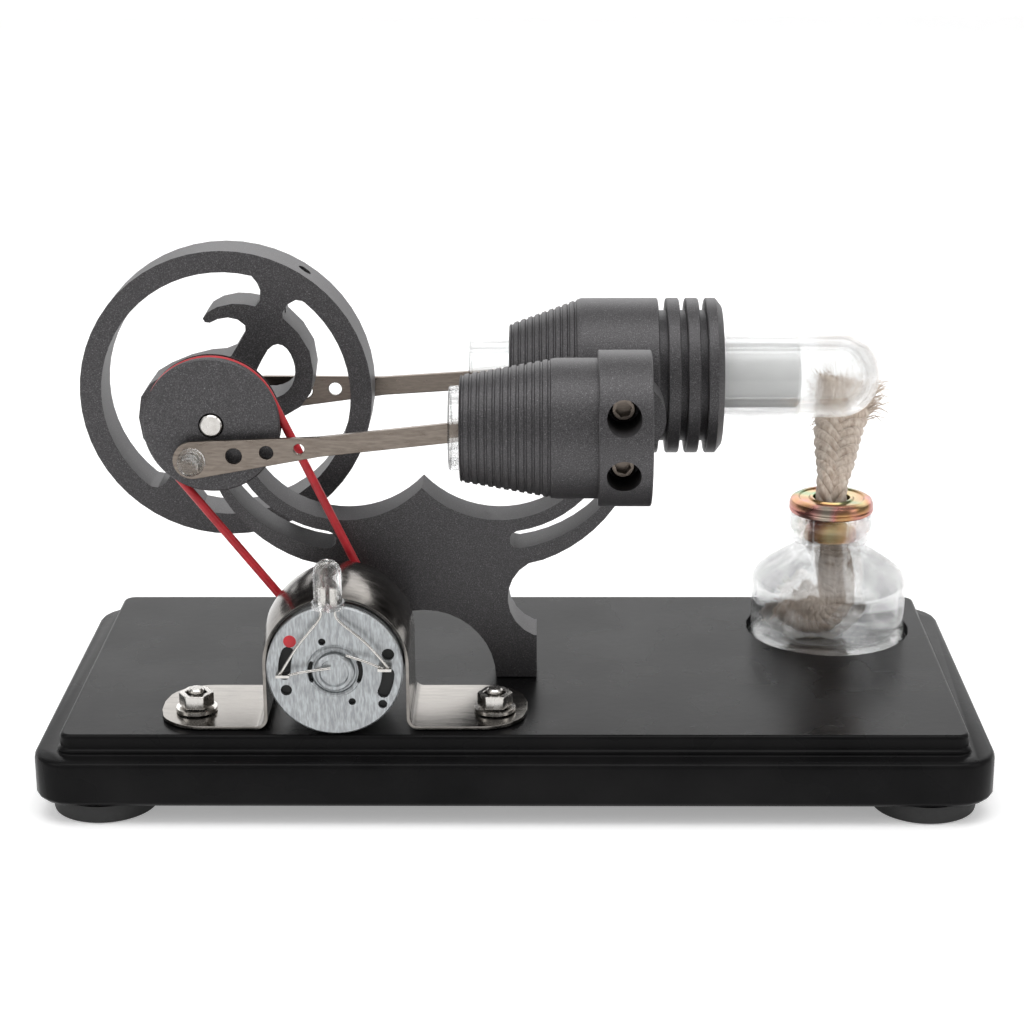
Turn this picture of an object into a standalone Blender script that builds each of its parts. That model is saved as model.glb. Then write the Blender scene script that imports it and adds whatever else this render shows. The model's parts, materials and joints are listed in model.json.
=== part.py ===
"""Twin-cylinder hot-air engine on a lacquered board, driving a small generator with an LED.

Metres, +Z up.  The origin is on the surface the feet stand on, under the middle of the board.
+X runs from the flywheel towards the hot end, +Y runs from the generator towards the flywheel.
"""
import math

import bmesh
import bpy
from mathutils import Matrix, Vector

MM = 0.001
GAP = 0.3 * MM                    # air between pieces that touch on the real engine

# ---------------------------------------------------------------- board and feet
BOARD_HALF_X, BOARD_HALF_Y = 85.5 * MM, 40.3 * MM
PLATE_HALF_X, PLATE_HALF_Y = 80.6 * MM, 36.1 * MM
BOARD_BOTTOM = 3.6 * MM
STEP_Z = 12.0 * MM
BOARD_TOP = 15.6 * MM
LOWER_CORNER, UPPER_CORNER = 7.5 * MM, 2.2 * MM
FOOT_RADIUS = 9.35 * MM
FOOT_X, FOOT_Y = 73.7 * MM, 30.0 * MM

# ---------------------------------------------------------------- engine axes
AXIS_Z = BOARD_TOP + 50.3 * MM    # height of the crankshaft and of both cylinders
SHAFT_X = -54.3 * MM
POWER_Y = -14.7 * MM
DISPLACER_Y = 22.3 * MM
CRANK_RADIUS = 6.8 * MM
POWER_CRANK_ANGLE = math.radians(240.0)
DISPLACER_CRANK_ANGLE = math.radians(330.0)
ROD_LENGTH = 54.0 * MM
SHAFT_RADIUS = 2.0 * MM
PIN_RADIUS = 0.8 * MM

# ---------------------------------------------------------------- frame plate
FRAME_FRONT, FRAME_BACK = -8.8 * MM, -0.3 * MM
FRAME_MIDDLE_X = -16.85 * MM
SCALLOP_OFFSET, SCALLOP_RADIUS = 14.15 * MM, 19.2 * MM
OUTER_ARC_X, OUTER_ARC_Z, OUTER_ARC_RADIUS = 12.6 * MM, BOARD_TOP + 49.0 * MM, 27.3 * MM
BOSS_OFFSET, BOSS_RADIUS = 37.45 * MM, 7.0 * MM
NECK_X, NECK_Z, NECK_RADIUS = 23.45 * MM, BOARD_TOP + 15.9 * MM, 7.9 * MM
FRAME_FOOT_X = 20.9 * MM
ARCH_RADIUS = 13.3 * MM
SLOT_RADIUS, SLOT_HALF_WIDTH = 23.25 * MM, 1.7 * MM
SLOT_FROM, SLOT_TO = math.radians(-81.5), math.radians(-26.0)
FRAME_SCREW_OFFSET = 17.1 * MM

# ---------------------------------------------------------------- crank disc, flywheel, belt
DISC_FRONT, DISC_BACK, DISC_RADIUS = -12.8 * MM, -9.1 * MM, 12.35 * MM
DISC_FLAT_ANGLE, DISC_FLAT_DEPTH = math.radians(211.0), 0.9 * MM
FLYWHEEL_FRONT, FLYWHEEL_BACK = 8.2 * MM, 17.8 * MM
FLYWHEEL_RADIUS, RIM_INNER_RADIUS = 27.47 * MM, 23.45 * MM
SETSCREW_ANGLE = math.radians(56.5)
BELT_Y = -10.55 * MM
BELT_RADIUS = 0.8 * MM
GROOVE_FRONT, GROOVE_BACK = BELT_Y - BELT_RADIUS - GAP, BELT_Y + BELT_RADIUS + GAP
BELT_ON_DISC, BELT_ON_PULLEY = 11.6 * MM, 6.55 * MM

# ---------------------------------------------------------------- cylinders
TUBE_BORE = 6.3 * MM
PISTON_RADIUS = 6.0 * MM
POWER_MOUTH_X, POWER_BORE_END_X = -11.5 * MM, 14.3 * MM
CONE_START_X, CONE_END_X, CONE_RADIUS = -9.5 * MM, 6.4 * MM, 12.55 * MM
COLLAR_START_X, COLLAR_END_X, COLLAR_RADIUS = 15.0 * MM, 24.5 * MM, 13.95 * MM
CLAMP_SCREW_X, CLAMP_SCREW_OFFSET = 19.4 * MM, 5.2 * MM
PORT_X, PORT_RADIUS = 20.6 * MM, 1.9 * MM
BLOCK_HALF_HEIGHT = 7.6 * MM
SINK_START_X, SINK_CONE_END_X, SINK_RADIUS = -1.2 * MM, 12.15 * MM, 14.9 * MM
SINK_END_X = 39.4 * MM
GUIDE_MOUTH_X, GUIDE_END_X = -8.9 * MM, 14.0 * MM
HOT_START_X, HOT_ROUND_X, HOT_END_X, HOT_RADIUS = 24.0 * MM, 62.3 * MM, 70.1 * MM, 8.15 * MM

# ---------------------------------------------------------------- generator
MOTOR_X, MOTOR_RADIUS = -31.2 * MM, 12.0 * MM
MOTOR_Z = BOARD_TOP + MOTOR_RADIUS + GAP
MOTOR_FRONT, MOTOR_BACK = -36.0 * MM, -15.6 * MM
STRAP_FRONT, STRAP_BACK = -34.0 * MM, -14.4 * MM
STRAP_THICKNESS = 0.6 * MM
STRAP_BOLTS_X, STRAP_BOLT_Y = (MOTOR_X - 25.9 * MM, MOTOR_X + 27.8 * MM), -26.6 * MM

# ---------------------------------------------------------------- burner
BURNER_X, BURNER_Y = 61.3 * MM, 18.6 * MM
RECESS_RADIUS, RECESS_DEPTH = 15.85 * MM, 2.0 * MM
BOTTLE_RADIUS = 15.0 * MM

ROUND = 28                        # sides of the large turned pieces
SMALL = 14                        # sides of the small ones


# ================================================================ helpers
def clear_scene():
    for old in list(bpy.data.objects):
        bpy.data.objects.remove(old, do_unlink=True)


def finish(name, colour, roughness, metallic, alpha=1.0):
    """A material in one plain finish."""
    made = bpy.data.materials.new(name)
    made.use_nodes = True
    shader = made.node_tree.nodes["Principled BSDF"]
    shader.inputs["Base Color"].default_value = (*colour, 1.0)
    shader.inputs["Roughness"].default_value = roughness
    shader.inputs["Metallic"].default_value = metallic
    shader.inputs["Alpha"].default_value = alpha
    return made


def place(name, mesh_data, material, at, parent=None):
    """Wraps a bmesh in an object at a point, with smooth round faces."""
    bmesh.ops.recalc_face_normals(mesh_data, faces=mesh_data.faces)
    mesh = bpy.data.meshes.new(name)
    mesh_data.to_mesh(mesh)
    mesh_data.free()
    mesh.shade_smooth()
    mesh.set_sharp_from_angle(angle=math.radians(35))
    item = bpy.data.objects.new(name, mesh)
    if material:
        mesh.materials.append(material)
    bpy.context.scene.collection.objects.link(item)
    item.location = at
    if parent:
        item.parent = parent
        item.location = Vector(at) - parent.location
    return item


def turning(axis):
    """The rotation that takes a profile's own axis, +Z, to the named direction."""
    return {"x": Matrix.Rotation(math.pi / 2, 3, "Y"),
            "y": Matrix.Rotation(-math.pi / 2, 3, "X"),
            "z": Matrix.Identity(3)}[axis]


def turned_mesh(profile, axis, sides, hollow):
    """Spins (radius, distance) points about an axis.

    A hollow profile is a closed section off the axis.  A solid one starts and ends on the axis.
    """
    made = bmesh.new()
    spin = turning(axis) if isinstance(axis, str) else axis
    rings = []
    for radius, along in profile:
        if radius == 0:
            rings.append([made.verts.new(spin @ Vector((0, 0, along)))])
            continue
        rings.append([made.verts.new(spin @ Vector((radius * math.cos(2 * math.pi * k / sides),
                                                    radius * math.sin(2 * math.pi * k / sides),
                                                    along))) for k in range(sides)])
    pairs = list(zip(rings, rings[1:]))
    if hollow:
        pairs.append((rings[-1], rings[0]))
    for low, high in pairs:
        for k in range(sides):
            after = (k + 1) % sides
            corners = [low[k % len(low)], low[after % len(low)],
                       high[after % len(high)], high[k % len(high)]]
            made.faces.new(list(dict.fromkeys(corners)))
    return made


def turned(name, profile, axis, at, material, sides=ROUND, hollow=False, parent=None):
    return place(name, turned_mesh(profile, axis, sides, hollow), material, at, parent)


def rod(radius, start, end):
    """The profile of a plain round bar."""
    return [(0, start), (radius, start), (radius, end), (0, end)]


def tube(outer, inner, start, end):
    """The section of a plain round tube."""
    return [(inner, start), (outer, start), (outer, end), (inner, end)]


def arc(centre_x, centre_z, radius, first, last, count):
    """Points along an arc, both ends included; angles in radians."""
    return [(centre_x + radius * math.cos(first + (last - first) * k / (count - 1)),
             centre_z + radius * math.sin(first + (last - first) * k / (count - 1)))
            for k in range(count)]


def smooth_loop(points, per_span=3):
    """A closed Catmull-Rom curve through a few points."""
    out = []
    count = len(points)
    for k in range(count):
        p0, p1, p2, p3 = (points[(k + shift) % count] for shift in (-1, 0, 1, 2))
        for step in range(per_span):
            t = step / per_span
            out.append(tuple(0.5 * (2 * b + (c - a) * t + (2 * a - 5 * b + 4 * c - d) * t * t
                                    + (3 * b - a - 3 * c + d) * t ** 3)
                             for a, b, c, d in zip(p0, p1, p2, p3)))
    return out


def plate(name, outline, holes, front, back, at, material, parent=None):
    """A flat piece cut to an outline in XZ, with holes, between two Y planes."""
    made = bmesh.new()
    for loop in [outline] + holes:
        ring = [made.verts.new((x, front, z)) for x, z in loop]
        for k, vert in enumerate(ring):
            made.edges.new((vert, ring[(k + 1) % len(ring)]))
    bmesh.ops.triangle_fill(made, edges=made.edges, use_beauty=True, use_dissolve=False)
    grown = bmesh.ops.extrude_face_region(made, geom=list(made.faces))
    moved = [piece for piece in grown["geom"] if isinstance(piece, bmesh.types.BMVert)]
    bmesh.ops.translate(made, verts=moved, vec=(0, back - front, 0))
    return place(name, made, material, at, parent)


def cut(item, cutters):
    """Takes each cutter out of a piece; the cutters stay as hidden guides."""
    for number, cutter in enumerate(cutters):
        cutter.name = f"{item.name}_cutter_{number}"
        cutter.hide_render = True
        cutter.display_type = "WIRE"
        step = item.modifiers.new(f"cut_{number}", "BOOLEAN")
        step.operation = "DIFFERENCE"
        step.solver = "EXACT"
        step.object = cutter
    return item


def drill(radius, axis, start, end, at, sides=SMALL):
    return turned("drill", rod(radius, start, end), axis, at, None, sides)


def block_mesh(low, high):
    made = bmesh.new()
    bmesh.ops.create_cube(made, size=1)
    size = Vector(high) - Vector(low)
    middle = (Vector(high) + Vector(low)) / 2
    bmesh.ops.transform(made, matrix=Matrix.Translation(middle) @ Matrix.Diagonal((*size, 1)),
                        verts=made.verts)
    return made


def axis_empty(name, at):
    empty = bpy.data.objects.new(name, None)
    empty.location = at
    bpy.context.scene.collection.objects.link(empty)
    return empty


def crank_point(angle, radius=CRANK_RADIUS):
    """A point on the crank circle, as X and Z."""
    return SHAFT_X + radius * math.cos(angle), AXIS_Z + radius * math.sin(angle)


def wrist_x(angle):
    """Where the far end of a rod lies on the cylinder axis."""
    drop = CRANK_RADIUS * math.sin(angle)
    return SHAFT_X + CRANK_RADIUS * math.cos(angle) + math.sqrt(ROD_LENGTH ** 2 - drop ** 2)


# ================================================================ board
def rounded_rectangle(half_x, half_y, corner, per_corner=6):
    points = []
    for sign_x, sign_y, start in ((1, 1, 0), (-1, 1, 90), (-1, -1, 180), (1, -1, 270)):
        points += arc(sign_x * (half_x - corner), sign_y * (half_y - corner), corner,
                      math.radians(start), math.radians(start + 90), per_corner)
    return points


def make_board(lacquer, rubber):
    bead = 0.5 * MM
    sections = [(BOARD_HALF_X, BOARD_HALF_Y, LOWER_CORNER, 0.8 * MM, BOARD_BOTTOM),
                (BOARD_HALF_X, BOARD_HALF_Y, LOWER_CORNER, 0.0, BOARD_BOTTOM + 0.8 * MM),
                (BOARD_HALF_X, BOARD_HALF_Y, LOWER_CORNER, 0.0, STEP_Z - 1.0 * MM),
                (BOARD_HALF_X, BOARD_HALF_Y, LOWER_CORNER, 0.3 * MM, STEP_Z - 0.3 * MM),
                (BOARD_HALF_X, BOARD_HALF_Y, LOWER_CORNER, 1.0 * MM, STEP_Z),
                (PLATE_HALF_X, PLATE_HALF_Y, UPPER_CORNER, -bead, STEP_Z),
                (PLATE_HALF_X, PLATE_HALF_Y, UPPER_CORNER, -bead, STEP_Z + 0.8 * MM),
                (PLATE_HALF_X, PLATE_HALF_Y, UPPER_CORNER, 0.0, STEP_Z + 1.0 * MM),
                (PLATE_HALF_X, PLATE_HALF_Y, UPPER_CORNER, 0.0, BOARD_TOP - 0.4 * MM),
                (PLATE_HALF_X, PLATE_HALF_Y, UPPER_CORNER, 0.4 * MM, BOARD_TOP)]
    made = bmesh.new()
    rings = []
    for half_x, half_y, corner, inset, height in sections:
        outline = rounded_rectangle(half_x - inset, half_y - inset, corner - inset)
        rings.append([made.verts.new((x, y, height)) for x, y in outline])
    count = len(rings[0])
    for low, high in zip(rings, rings[1:]):
        for k in range(count):
            made.faces.new((low[k], low[(k + 1) % count], high[(k + 1) % count], high[k]))
    made.faces.new(rings[-1])
    made.faces.new(list(reversed(rings[0])))
    board = place("base_board", made, lacquer, (0, 0, 0))
    cutters = [turned("recess", rod(RECESS_RADIUS, BOARD_TOP - RECESS_DEPTH, BOARD_TOP + 2 * MM),
                      "z", (BURNER_X, BURNER_Y, 0), None, ROUND)]
    for x, y, shank, head in bolt_places():
        hole = [(0, BOARD_BOTTOM - MM), (head, BOARD_BOTTOM - MM), (head, BOARD_BOTTOM + 3.6 * MM),
                (shank, BOARD_BOTTOM + 3.6 * MM), (shank, BOARD_TOP + MM), (0, BOARD_TOP + MM)]
        cutters.append(turned("bolt_hole", hole, "z", (x, y, 0), None, 16))
    cut(board, cutters)
    foot_top = BOARD_BOTTOM - GAP
    for front_back, side_y in (("front", -1), ("rear", 1)):
        for left_right, side_x in (("left", -1), ("right", 1)):
            profile = [(0, 0), (FOOT_RADIUS - 0.6 * MM, 0), (FOOT_RADIUS, 0.6 * MM),
                       (FOOT_RADIUS - 0.5 * MM, foot_top), (0, foot_top)]
            turned(f"foot_{front_back}_{left_right}", profile, "z",
                   (side_x * FOOT_X, side_y * FOOT_Y, 0), rubber, ROUND)


def bolt_places():
    """X, Y, hole radius and head-pocket radius of each bolt through the board."""
    strap = [(x, STRAP_BOLT_Y, 1.75 * MM, 3.4 * MM) for x in STRAP_BOLTS_X]
    frame_y = (FRAME_FRONT + FRAME_BACK) / 2
    frame = [(FRAME_MIDDLE_X + side * FRAME_SCREW_OFFSET, frame_y, 1.9 * MM, 3.4 * MM)
             for side in (-1, 1)]
    return strap + frame


def make_bolts(steel):
    """Bolts and screws with their heads in pockets under the board."""
    low = BOARD_BOTTOM + 0.4 * MM
    tops = {"strap_bolt": BOARD_TOP + 5.3 * MM, "frame_screw": BOARD_TOP + 5.2 * MM}
    for number, (x, y, hole, pocket) in enumerate(bolt_places()):
        kind = "strap_bolt" if number < 2 else "frame_screw"
        side = "left" if number % 2 == 0 else "right"
        shank, head = hole - 1.15 * GAP, pocket - 2 * GAP
        shoulder = BOARD_BOTTOM + 3.6 * MM - GAP
        profile = [(0, low), (head, low), (head, shoulder), (shank, shoulder),
                   (shank, tops[kind] - 0.3 * MM), (shank - 0.3 * MM, tops[kind]), (0, tops[kind])]
        turned(f"{kind}_{side}", profile, "z", (x, y, 0), steel, 16)


# ================================================================ frame
def circle_meeting(first, first_radius, second, second_radius, side):
    """One of the two points where two circles cross."""
    a, b = Vector(first), Vector(second)
    apart = (b - a).length
    along = (apart ** 2 + first_radius ** 2 - second_radius ** 2) / (2 * apart)
    off = math.sqrt(first_radius ** 2 - along ** 2) * side
    way = (b - a).normalized()
    return a + way * along + Vector((-way.y, way.x)) * off


def angle_about(centre, point):
    return math.atan2(point[1] - centre[1], point[0] - centre[0])


def frame_half():
    """The right half of the frame's outline, from the peak down to the arch."""
    scallop, boss = (SCALLOP_OFFSET, AXIS_Z), (BOSS_OFFSET, AXIS_Z)
    outer = (OUTER_ARC_X, OUTER_ARC_Z)
    inner_end = circle_meeting(scallop, SCALLOP_RADIUS, boss, BOSS_RADIUS, -1)
    outer_end = circle_meeting(outer, OUTER_ARC_RADIUS, boss, BOSS_RADIUS, -1)
    peak_angle = math.pi + math.acos(SCALLOP_OFFSET / SCALLOP_RADIUS)
    points = arc(*scallop, SCALLOP_RADIUS, peak_angle,
                 2 * math.pi + angle_about(scallop, inner_end), 22)
    points += arc(*boss, BOSS_RADIUS, 2 * math.pi + angle_about(boss, inner_end),
                  angle_about(boss, outer_end), 18)[1:]
    neck_top = (NECK_X + NECK_RADIUS * math.cos(math.radians(120)),
                NECK_Z + NECK_RADIUS * math.sin(math.radians(120)))
    points += arc(*outer, OUTER_ARC_RADIUS, angle_about(outer, outer_end),
                  angle_about(outer, neck_top), 12)[1:-1]
    points += arc(NECK_X, NECK_Z, NECK_RADIUS, math.radians(120), math.radians(248), 9)
    base = BOARD_TOP + GAP
    points += [(FRAME_FOOT_X, BOARD_TOP + 8.6 * MM), (FRAME_FOOT_X, base)]
    points += arc(0, base, ARCH_RADIUS, 0, math.pi / 2, 10)
    return points


def frame_slot():
    """The curved slot in the right arm, round at both ends."""
    centre = (SCALLOP_OFFSET, AXIS_Z)
    outer = arc(*centre, SLOT_RADIUS + SLOT_HALF_WIDTH, SLOT_FROM, SLOT_TO, 10)
    inner = arc(*centre, SLOT_RADIUS - SLOT_HALF_WIDTH, SLOT_TO, SLOT_FROM, 10)
    ends = []
    for at, first in ((SLOT_TO, SLOT_TO), (SLOT_FROM, SLOT_FROM + math.pi)):
        middle = (centre[0] + SLOT_RADIUS * math.cos(at), centre[1] + SLOT_RADIUS * math.sin(at))
        ends.append(arc(*middle, SLOT_HALF_WIDTH, first, first + math.pi, 6)[1:-1])
    return outer + ends[0] + inner + ends[1]


def make_frame(coated):
    half = frame_half()
    outline = half + [(-x, z) for x, z in reversed(half)][1:-1]
    slot = frame_slot()
    holes = [slot, [(-x, z) for x, z in reversed(slot)]]
    holes.append(arc(-BOSS_OFFSET, AXIS_Z, 4.8 * MM, 0, 2 * math.pi, SMALL + 1)[:-1])
    holes.append(arc(PORT_X - FRAME_MIDDLE_X, AXIS_Z, PORT_RADIUS, 0, 2 * math.pi, 17)[:-1])
    for side in (-1, 1):
        holes.append(arc(CLAMP_SCREW_X - FRAME_MIDDLE_X, AXIS_Z + side * CLAMP_SCREW_OFFSET,
                         1.55 * MM, 0, 2 * math.pi, 13)[:-1])
    frame = plate("support_frame", outline, holes, FRAME_FRONT, FRAME_BACK,
                  (FRAME_MIDDLE_X, 0, 0), coated)
    cylinder_room = drill(13.25 * MM, "x", -30 * MM, COLLAR_START_X + 0.2 * MM,
                          (0, POWER_Y, AXIS_Z), ROUND)
    screw_holes = [drill(1.9 * MM, "z", BOARD_TOP - MM, BOARD_TOP + 5.8 * MM,
                         (FRAME_MIDDLE_X + side * FRAME_SCREW_OFFSET,
                          (FRAME_FRONT + FRAME_BACK) / 2, 0), 16) for side in (-1, 1)]
    cut(frame, [cylinder_room] + screw_holes)


def make_bearings(steel):
    """Two ball bearings in the left boss, each as one ring with its race grooves."""
    for name, start in (("bearing_front", FRAME_FRONT + 0.1 * MM),
                        ("bearing_rear", FRAME_BACK - 3.6 * MM)):
        end = start + 3.5 * MM
        recess = 0.25 * MM
        section = [(2.35 * MM, start), (3.0 * MM, start), (3.1 * MM, start + recess),
                   (3.8 * MM, start + recess), (3.9 * MM, start), (4.45 * MM, start),
                   (4.45 * MM, end), (3.9 * MM, end), (3.8 * MM, end - recess),
                   (3.1 * MM, end - recess), (3.0 * MM, end), (2.35 * MM, end)]
        turned(name, section, "y", (SHAFT_X, 0, AXIS_Z), steel, SMALL, hollow=True)


# ================================================================ cylinders
def make_power_cylinder(coated, glass, rubber, steel):
    at = (0, POWER_Y, AXIS_Z)
    turned("power_cylinder_glass", tube(7.6 * MM, TUBE_BORE, POWER_MOUTH_X, POWER_BORE_END_X - GAP),
           "x", at, glass, ROUND, hollow=True)
    bore = 8.9 * MM
    section = [(bore, CONE_START_X), (9.3 * MM, CONE_START_X), (9.6 * MM, CONE_START_X + 0.4 * MM),
               (CONE_RADIUS, CONE_END_X), (CONE_RADIUS, COLLAR_START_X),
               (COLLAR_RADIUS - 0.3 * MM, COLLAR_START_X),
               (COLLAR_RADIUS, COLLAR_START_X + 0.3 * MM),
               (COLLAR_RADIUS, COLLAR_END_X - 0.3 * MM), (COLLAR_RADIUS - 0.3 * MM, COLLAR_END_X),
               (0, COLLAR_END_X), (0, POWER_BORE_END_X), (bore, POWER_BORE_END_X)]
    housing = place("power_cylinder_housing", closed_turned_mesh(section), coated, at)
    flat_y = FRAME_FRONT - GAP
    back = place("back_flat", block_mesh((COLLAR_START_X - 0.2 * MM, flat_y, AXIS_Z - 20 * MM),
                                         (COLLAR_END_X + 5 * MM, 5 * MM, AXIS_Z + 20 * MM)),
                 None, (0, 0, 0))
    port = [drill(PORT_RADIUS, "x", POWER_BORE_END_X - MM, PORT_X, at, 16),
            drill(PORT_RADIUS, "y", POWER_Y, 0, (PORT_X, 0, AXIS_Z), 16)]
    pockets = []
    for side in (-1, 1):
        place_z = AXIS_Z + side * CLAMP_SCREW_OFFSET
        stepped = [(0, -32 * MM), (3.05 * MM, -32 * MM), (3.05 * MM, -18.2 * MM),
                   (1.55 * MM, -18.2 * MM), (1.55 * MM, 0), (0, 0)]
        pockets.append(turned("pocket", stepped, "y", (CLAMP_SCREW_X, 0, place_z), None, SMALL))
    cut(housing, [back] + port + pockets)
    turned("power_glass_oring", ring_section(8.25 * MM, 0.33 * MM, CONE_START_X + 1.4 * MM), "x", at,
           rubber, SMALL, hollow=True)
    for side, label in ((1, "upper"), (-1, "lower")):
        place_z = AXIS_Z + side * CLAMP_SCREW_OFFSET
        profile = [(0, -18.9 * MM), (1.1 * MM, -18.9 * MM), (1.1 * MM, -21.0 * MM),
                   (2.1 * MM, -21.0 * MM), (2.25 * MM, -20.8 * MM), (2.25 * MM, -18.5 * MM),
                   (1.2 * MM, -18.5 * MM), (1.2 * MM, 5.0 * MM), (0, 5.0 * MM)]
        turned(f"clamp_screw_{label}", profile, "y", (CLAMP_SCREW_X, 0, place_z), steel, 18)


def closed_turned_mesh(section, axis="x", sides=ROUND):
    """Spins a closed section that touches the axis along one of its sides."""
    first = next(k for k, point in enumerate(section) if point[0] == 0)
    ordered = section[first + 1:] + section[:first + 1]
    return turned_mesh(ordered, axis, sides, hollow=False)


def ring_section(middle, thick, along, points=6):
    """A round section for an O-ring."""
    return [(middle + thick * math.cos(2 * math.pi * k / points),
             along + thick * math.sin(2 * math.pi * k / points)) for k in range(points)]


def make_transfer_block(coated):
    """Carries the air from one cylinder to the other, behind the right boss."""
    low = (COLLAR_START_X + 0.2 * MM, FRAME_BACK + GAP, AXIS_Z - BLOCK_HALF_HEIGHT)
    high = (COLLAR_END_X + 1.0 * MM, 12 * MM, AXIS_Z + BLOCK_HALF_HEIGHT)
    made = block_mesh(low, high)
    bmesh.ops.bevel(made, geom=[edge for edge in made.edges if is_along(edge, 1)],
                    offset=1.0 * MM, segments=1, affect="EDGES")
    block = place("transfer_block", made, coated, (0, 0, 0))
    cutters = [drill(SINK_RADIUS + GAP, "x", 0, 50 * MM, (0, DISPLACER_Y, AXIS_Z), ROUND),
               drill(PORT_RADIUS, "y", -2 * MM, 20 * MM, (PORT_X, 0, AXIS_Z), 16)]
    for side in (-1, 1):
        cutters.append(drill(1.55 * MM, "y", -2 * MM, 5.5 * MM,
                             (CLAMP_SCREW_X, 0, AXIS_Z + side * CLAMP_SCREW_OFFSET), 12))
    cut(block, cutters)


def is_along(edge, axis):
    way = edge.verts[1].co - edge.verts[0].co
    return abs(way[axis]) > 0.99 * way.length


def make_heat_sink(coated, glass, rubber):
    at = (0, DISPLACER_Y, AXIS_Z)
    groove, cold_bore, hot_bore = 12.55 * MM, 7.8 * MM, 9.4 * MM
    section = [(cold_bore, SINK_START_X), (9.6 * MM, SINK_START_X),
               (10.0 * MM, SINK_START_X + 0.4 * MM), (SINK_RADIUS, SINK_CONE_END_X),
               (SINK_RADIUS, 27.2 * MM), (groove, 27.2 * MM)]
    for start, end in ((28.8, 31.2), (32.5, 34.9), (36.3, 38.4)):
        section += [(groove, start * MM), (SINK_RADIUS, start * MM), (SINK_RADIUS, end * MM)]
        if end < 38:
            section.append((groove, end * MM))
    section += [(SINK_RADIUS - 1.6 * MM, SINK_END_X), (hot_bore, SINK_END_X),
                (hot_bore, HOT_START_X - 0.4 * MM), (cold_bore, HOT_START_X - 0.4 * MM)]
    sink = turned("heat_sink", section, "x", at, coated, ROUND, hollow=True)
    cut(sink, [drill(PORT_RADIUS, "y", 0, DISPLACER_Y - 4 * MM, (PORT_X, 0, AXIS_Z), 16)])
    turned("guide_tube_glass", tube(7.5 * MM, TUBE_BORE, GUIDE_MOUTH_X, GUIDE_END_X), "x", at,
           glass, ROUND, hollow=True)
    wall = 1.2 * MM
    length = HOT_END_X - HOT_ROUND_X
    dome = [(HOT_RADIUS * math.cos(a), HOT_ROUND_X + length * math.sin(a))
            for a in (math.radians(step) for step in range(0, 90, 22))]
    hollow_dome = [((HOT_RADIUS - wall) * math.cos(a), HOT_ROUND_X + (length - wall) * math.sin(a))
                   for a in (math.radians(step) for step in range(66, -1, -22))]
    profile = [(0, HOT_END_X - wall)] + hollow_dome + [(HOT_RADIUS - wall, HOT_START_X),
                                                        (HOT_RADIUS, HOT_START_X)]
    profile += dome + [(0, HOT_END_X)]
    turned("hot_tube_glass", profile, "x", at, glass, ROUND)
    turned("hot_tube_sleeve", tube(9.1 * MM, HOT_RADIUS + GAP, 28 * MM, SINK_END_X - 0.2 * MM), "x",
           at, rubber, ROUND, hollow=True)


# ================================================================ moving pieces
def flywheel_windows():
    """Outlines of the curved opening beside a spoke and of the eye in its loop.

    Both are relative to the shaft, in millimetres; half a turn gives the other pair.
    """
    window = arc(0, 0, RIM_INNER_RADIUS / MM, math.radians(76), math.radians(229), 26)
    window += [(-14.9, -18.0), (-13.7, -18.2), (-12.1, -17.3), (-11.2, -15.8), (-11.2, -14.8),
               (-14.0, -11.9), (-16.0, -8.4), (-16.6, -4.4), (-16.0, -0.4), (-14.0, 2.3),
               (-11.3, 3.9), (-7.4, 5.5), (-3.4, 6.5), (-0.7, 6.7), (1.3, 7.5), (3.0, 10.2),
               (4.2, 12.2), (4.15, 13.4), (2.8, 14.5), (1.0, 14.9), (-0.9, 14.6), (-2.4, 13.9),
               (-3.3, 14.0), (-3.7, 14.7), (-2.9, 15.8), (-0.9, 16.9), (1.9, 17.5), (4.2, 17.4),
               (6.2, 17.0), (7.1, 18.1), (7.2, 20.1), (6.7, 21.4)]
    eye = smooth_loop([(10.1, 9.8), (11.8, 8.9), (12.9, 6.7), (13.2, 4.4), (12.6, 2.0), (10.9, 0.1),
                       (8.5, -0.7), (6.2, -0.4), (4.9, 1.0), (5.0, 3.0), (6.0, 4.8), (8.2, 8.7)], 2)
    return window, eye


def make_flywheel(coated, parent):
    holes = []
    for loop in flywheel_windows():
        holes.append([(x * MM, AXIS_Z + z * MM) for x, z in loop])
        holes.append([(-x * MM, AXIS_Z - z * MM) for x, z in loop])
    holes.append(arc(0, AXIS_Z, SHAFT_RADIUS + GAP, 0, 2 * math.pi, SMALL + 1)[:-1])
    outline = arc(0, AXIS_Z, FLYWHEEL_RADIUS, 0, 2 * math.pi, 2 * ROUND + 1)[:-1]
    wheel = plate("flywheel", outline, holes, FLYWHEEL_FRONT, FLYWHEEL_BACK, (SHAFT_X, 0, 0), coated,
                  parent)
    middle_y = (FLYWHEEL_FRONT + FLYWHEEL_BACK) / 2
    cut(wheel, [radial_drill(1.35 * MM, SETSCREW_ANGLE, 1.0 * MM, 30 * MM, middle_y)])
    return middle_y


def radial_turning(angle):
    """Takes +Z to a direction in the XZ plane at an angle from +X."""
    return Matrix.Rotation(math.pi / 2 - angle, 3, "Y")


def radial_drill(radius, angle, start, end, y):
    return turned("drill", rod(radius, start, end), radial_turning(angle), (SHAFT_X, y, AXIS_Z), None,
                  12)


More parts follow.
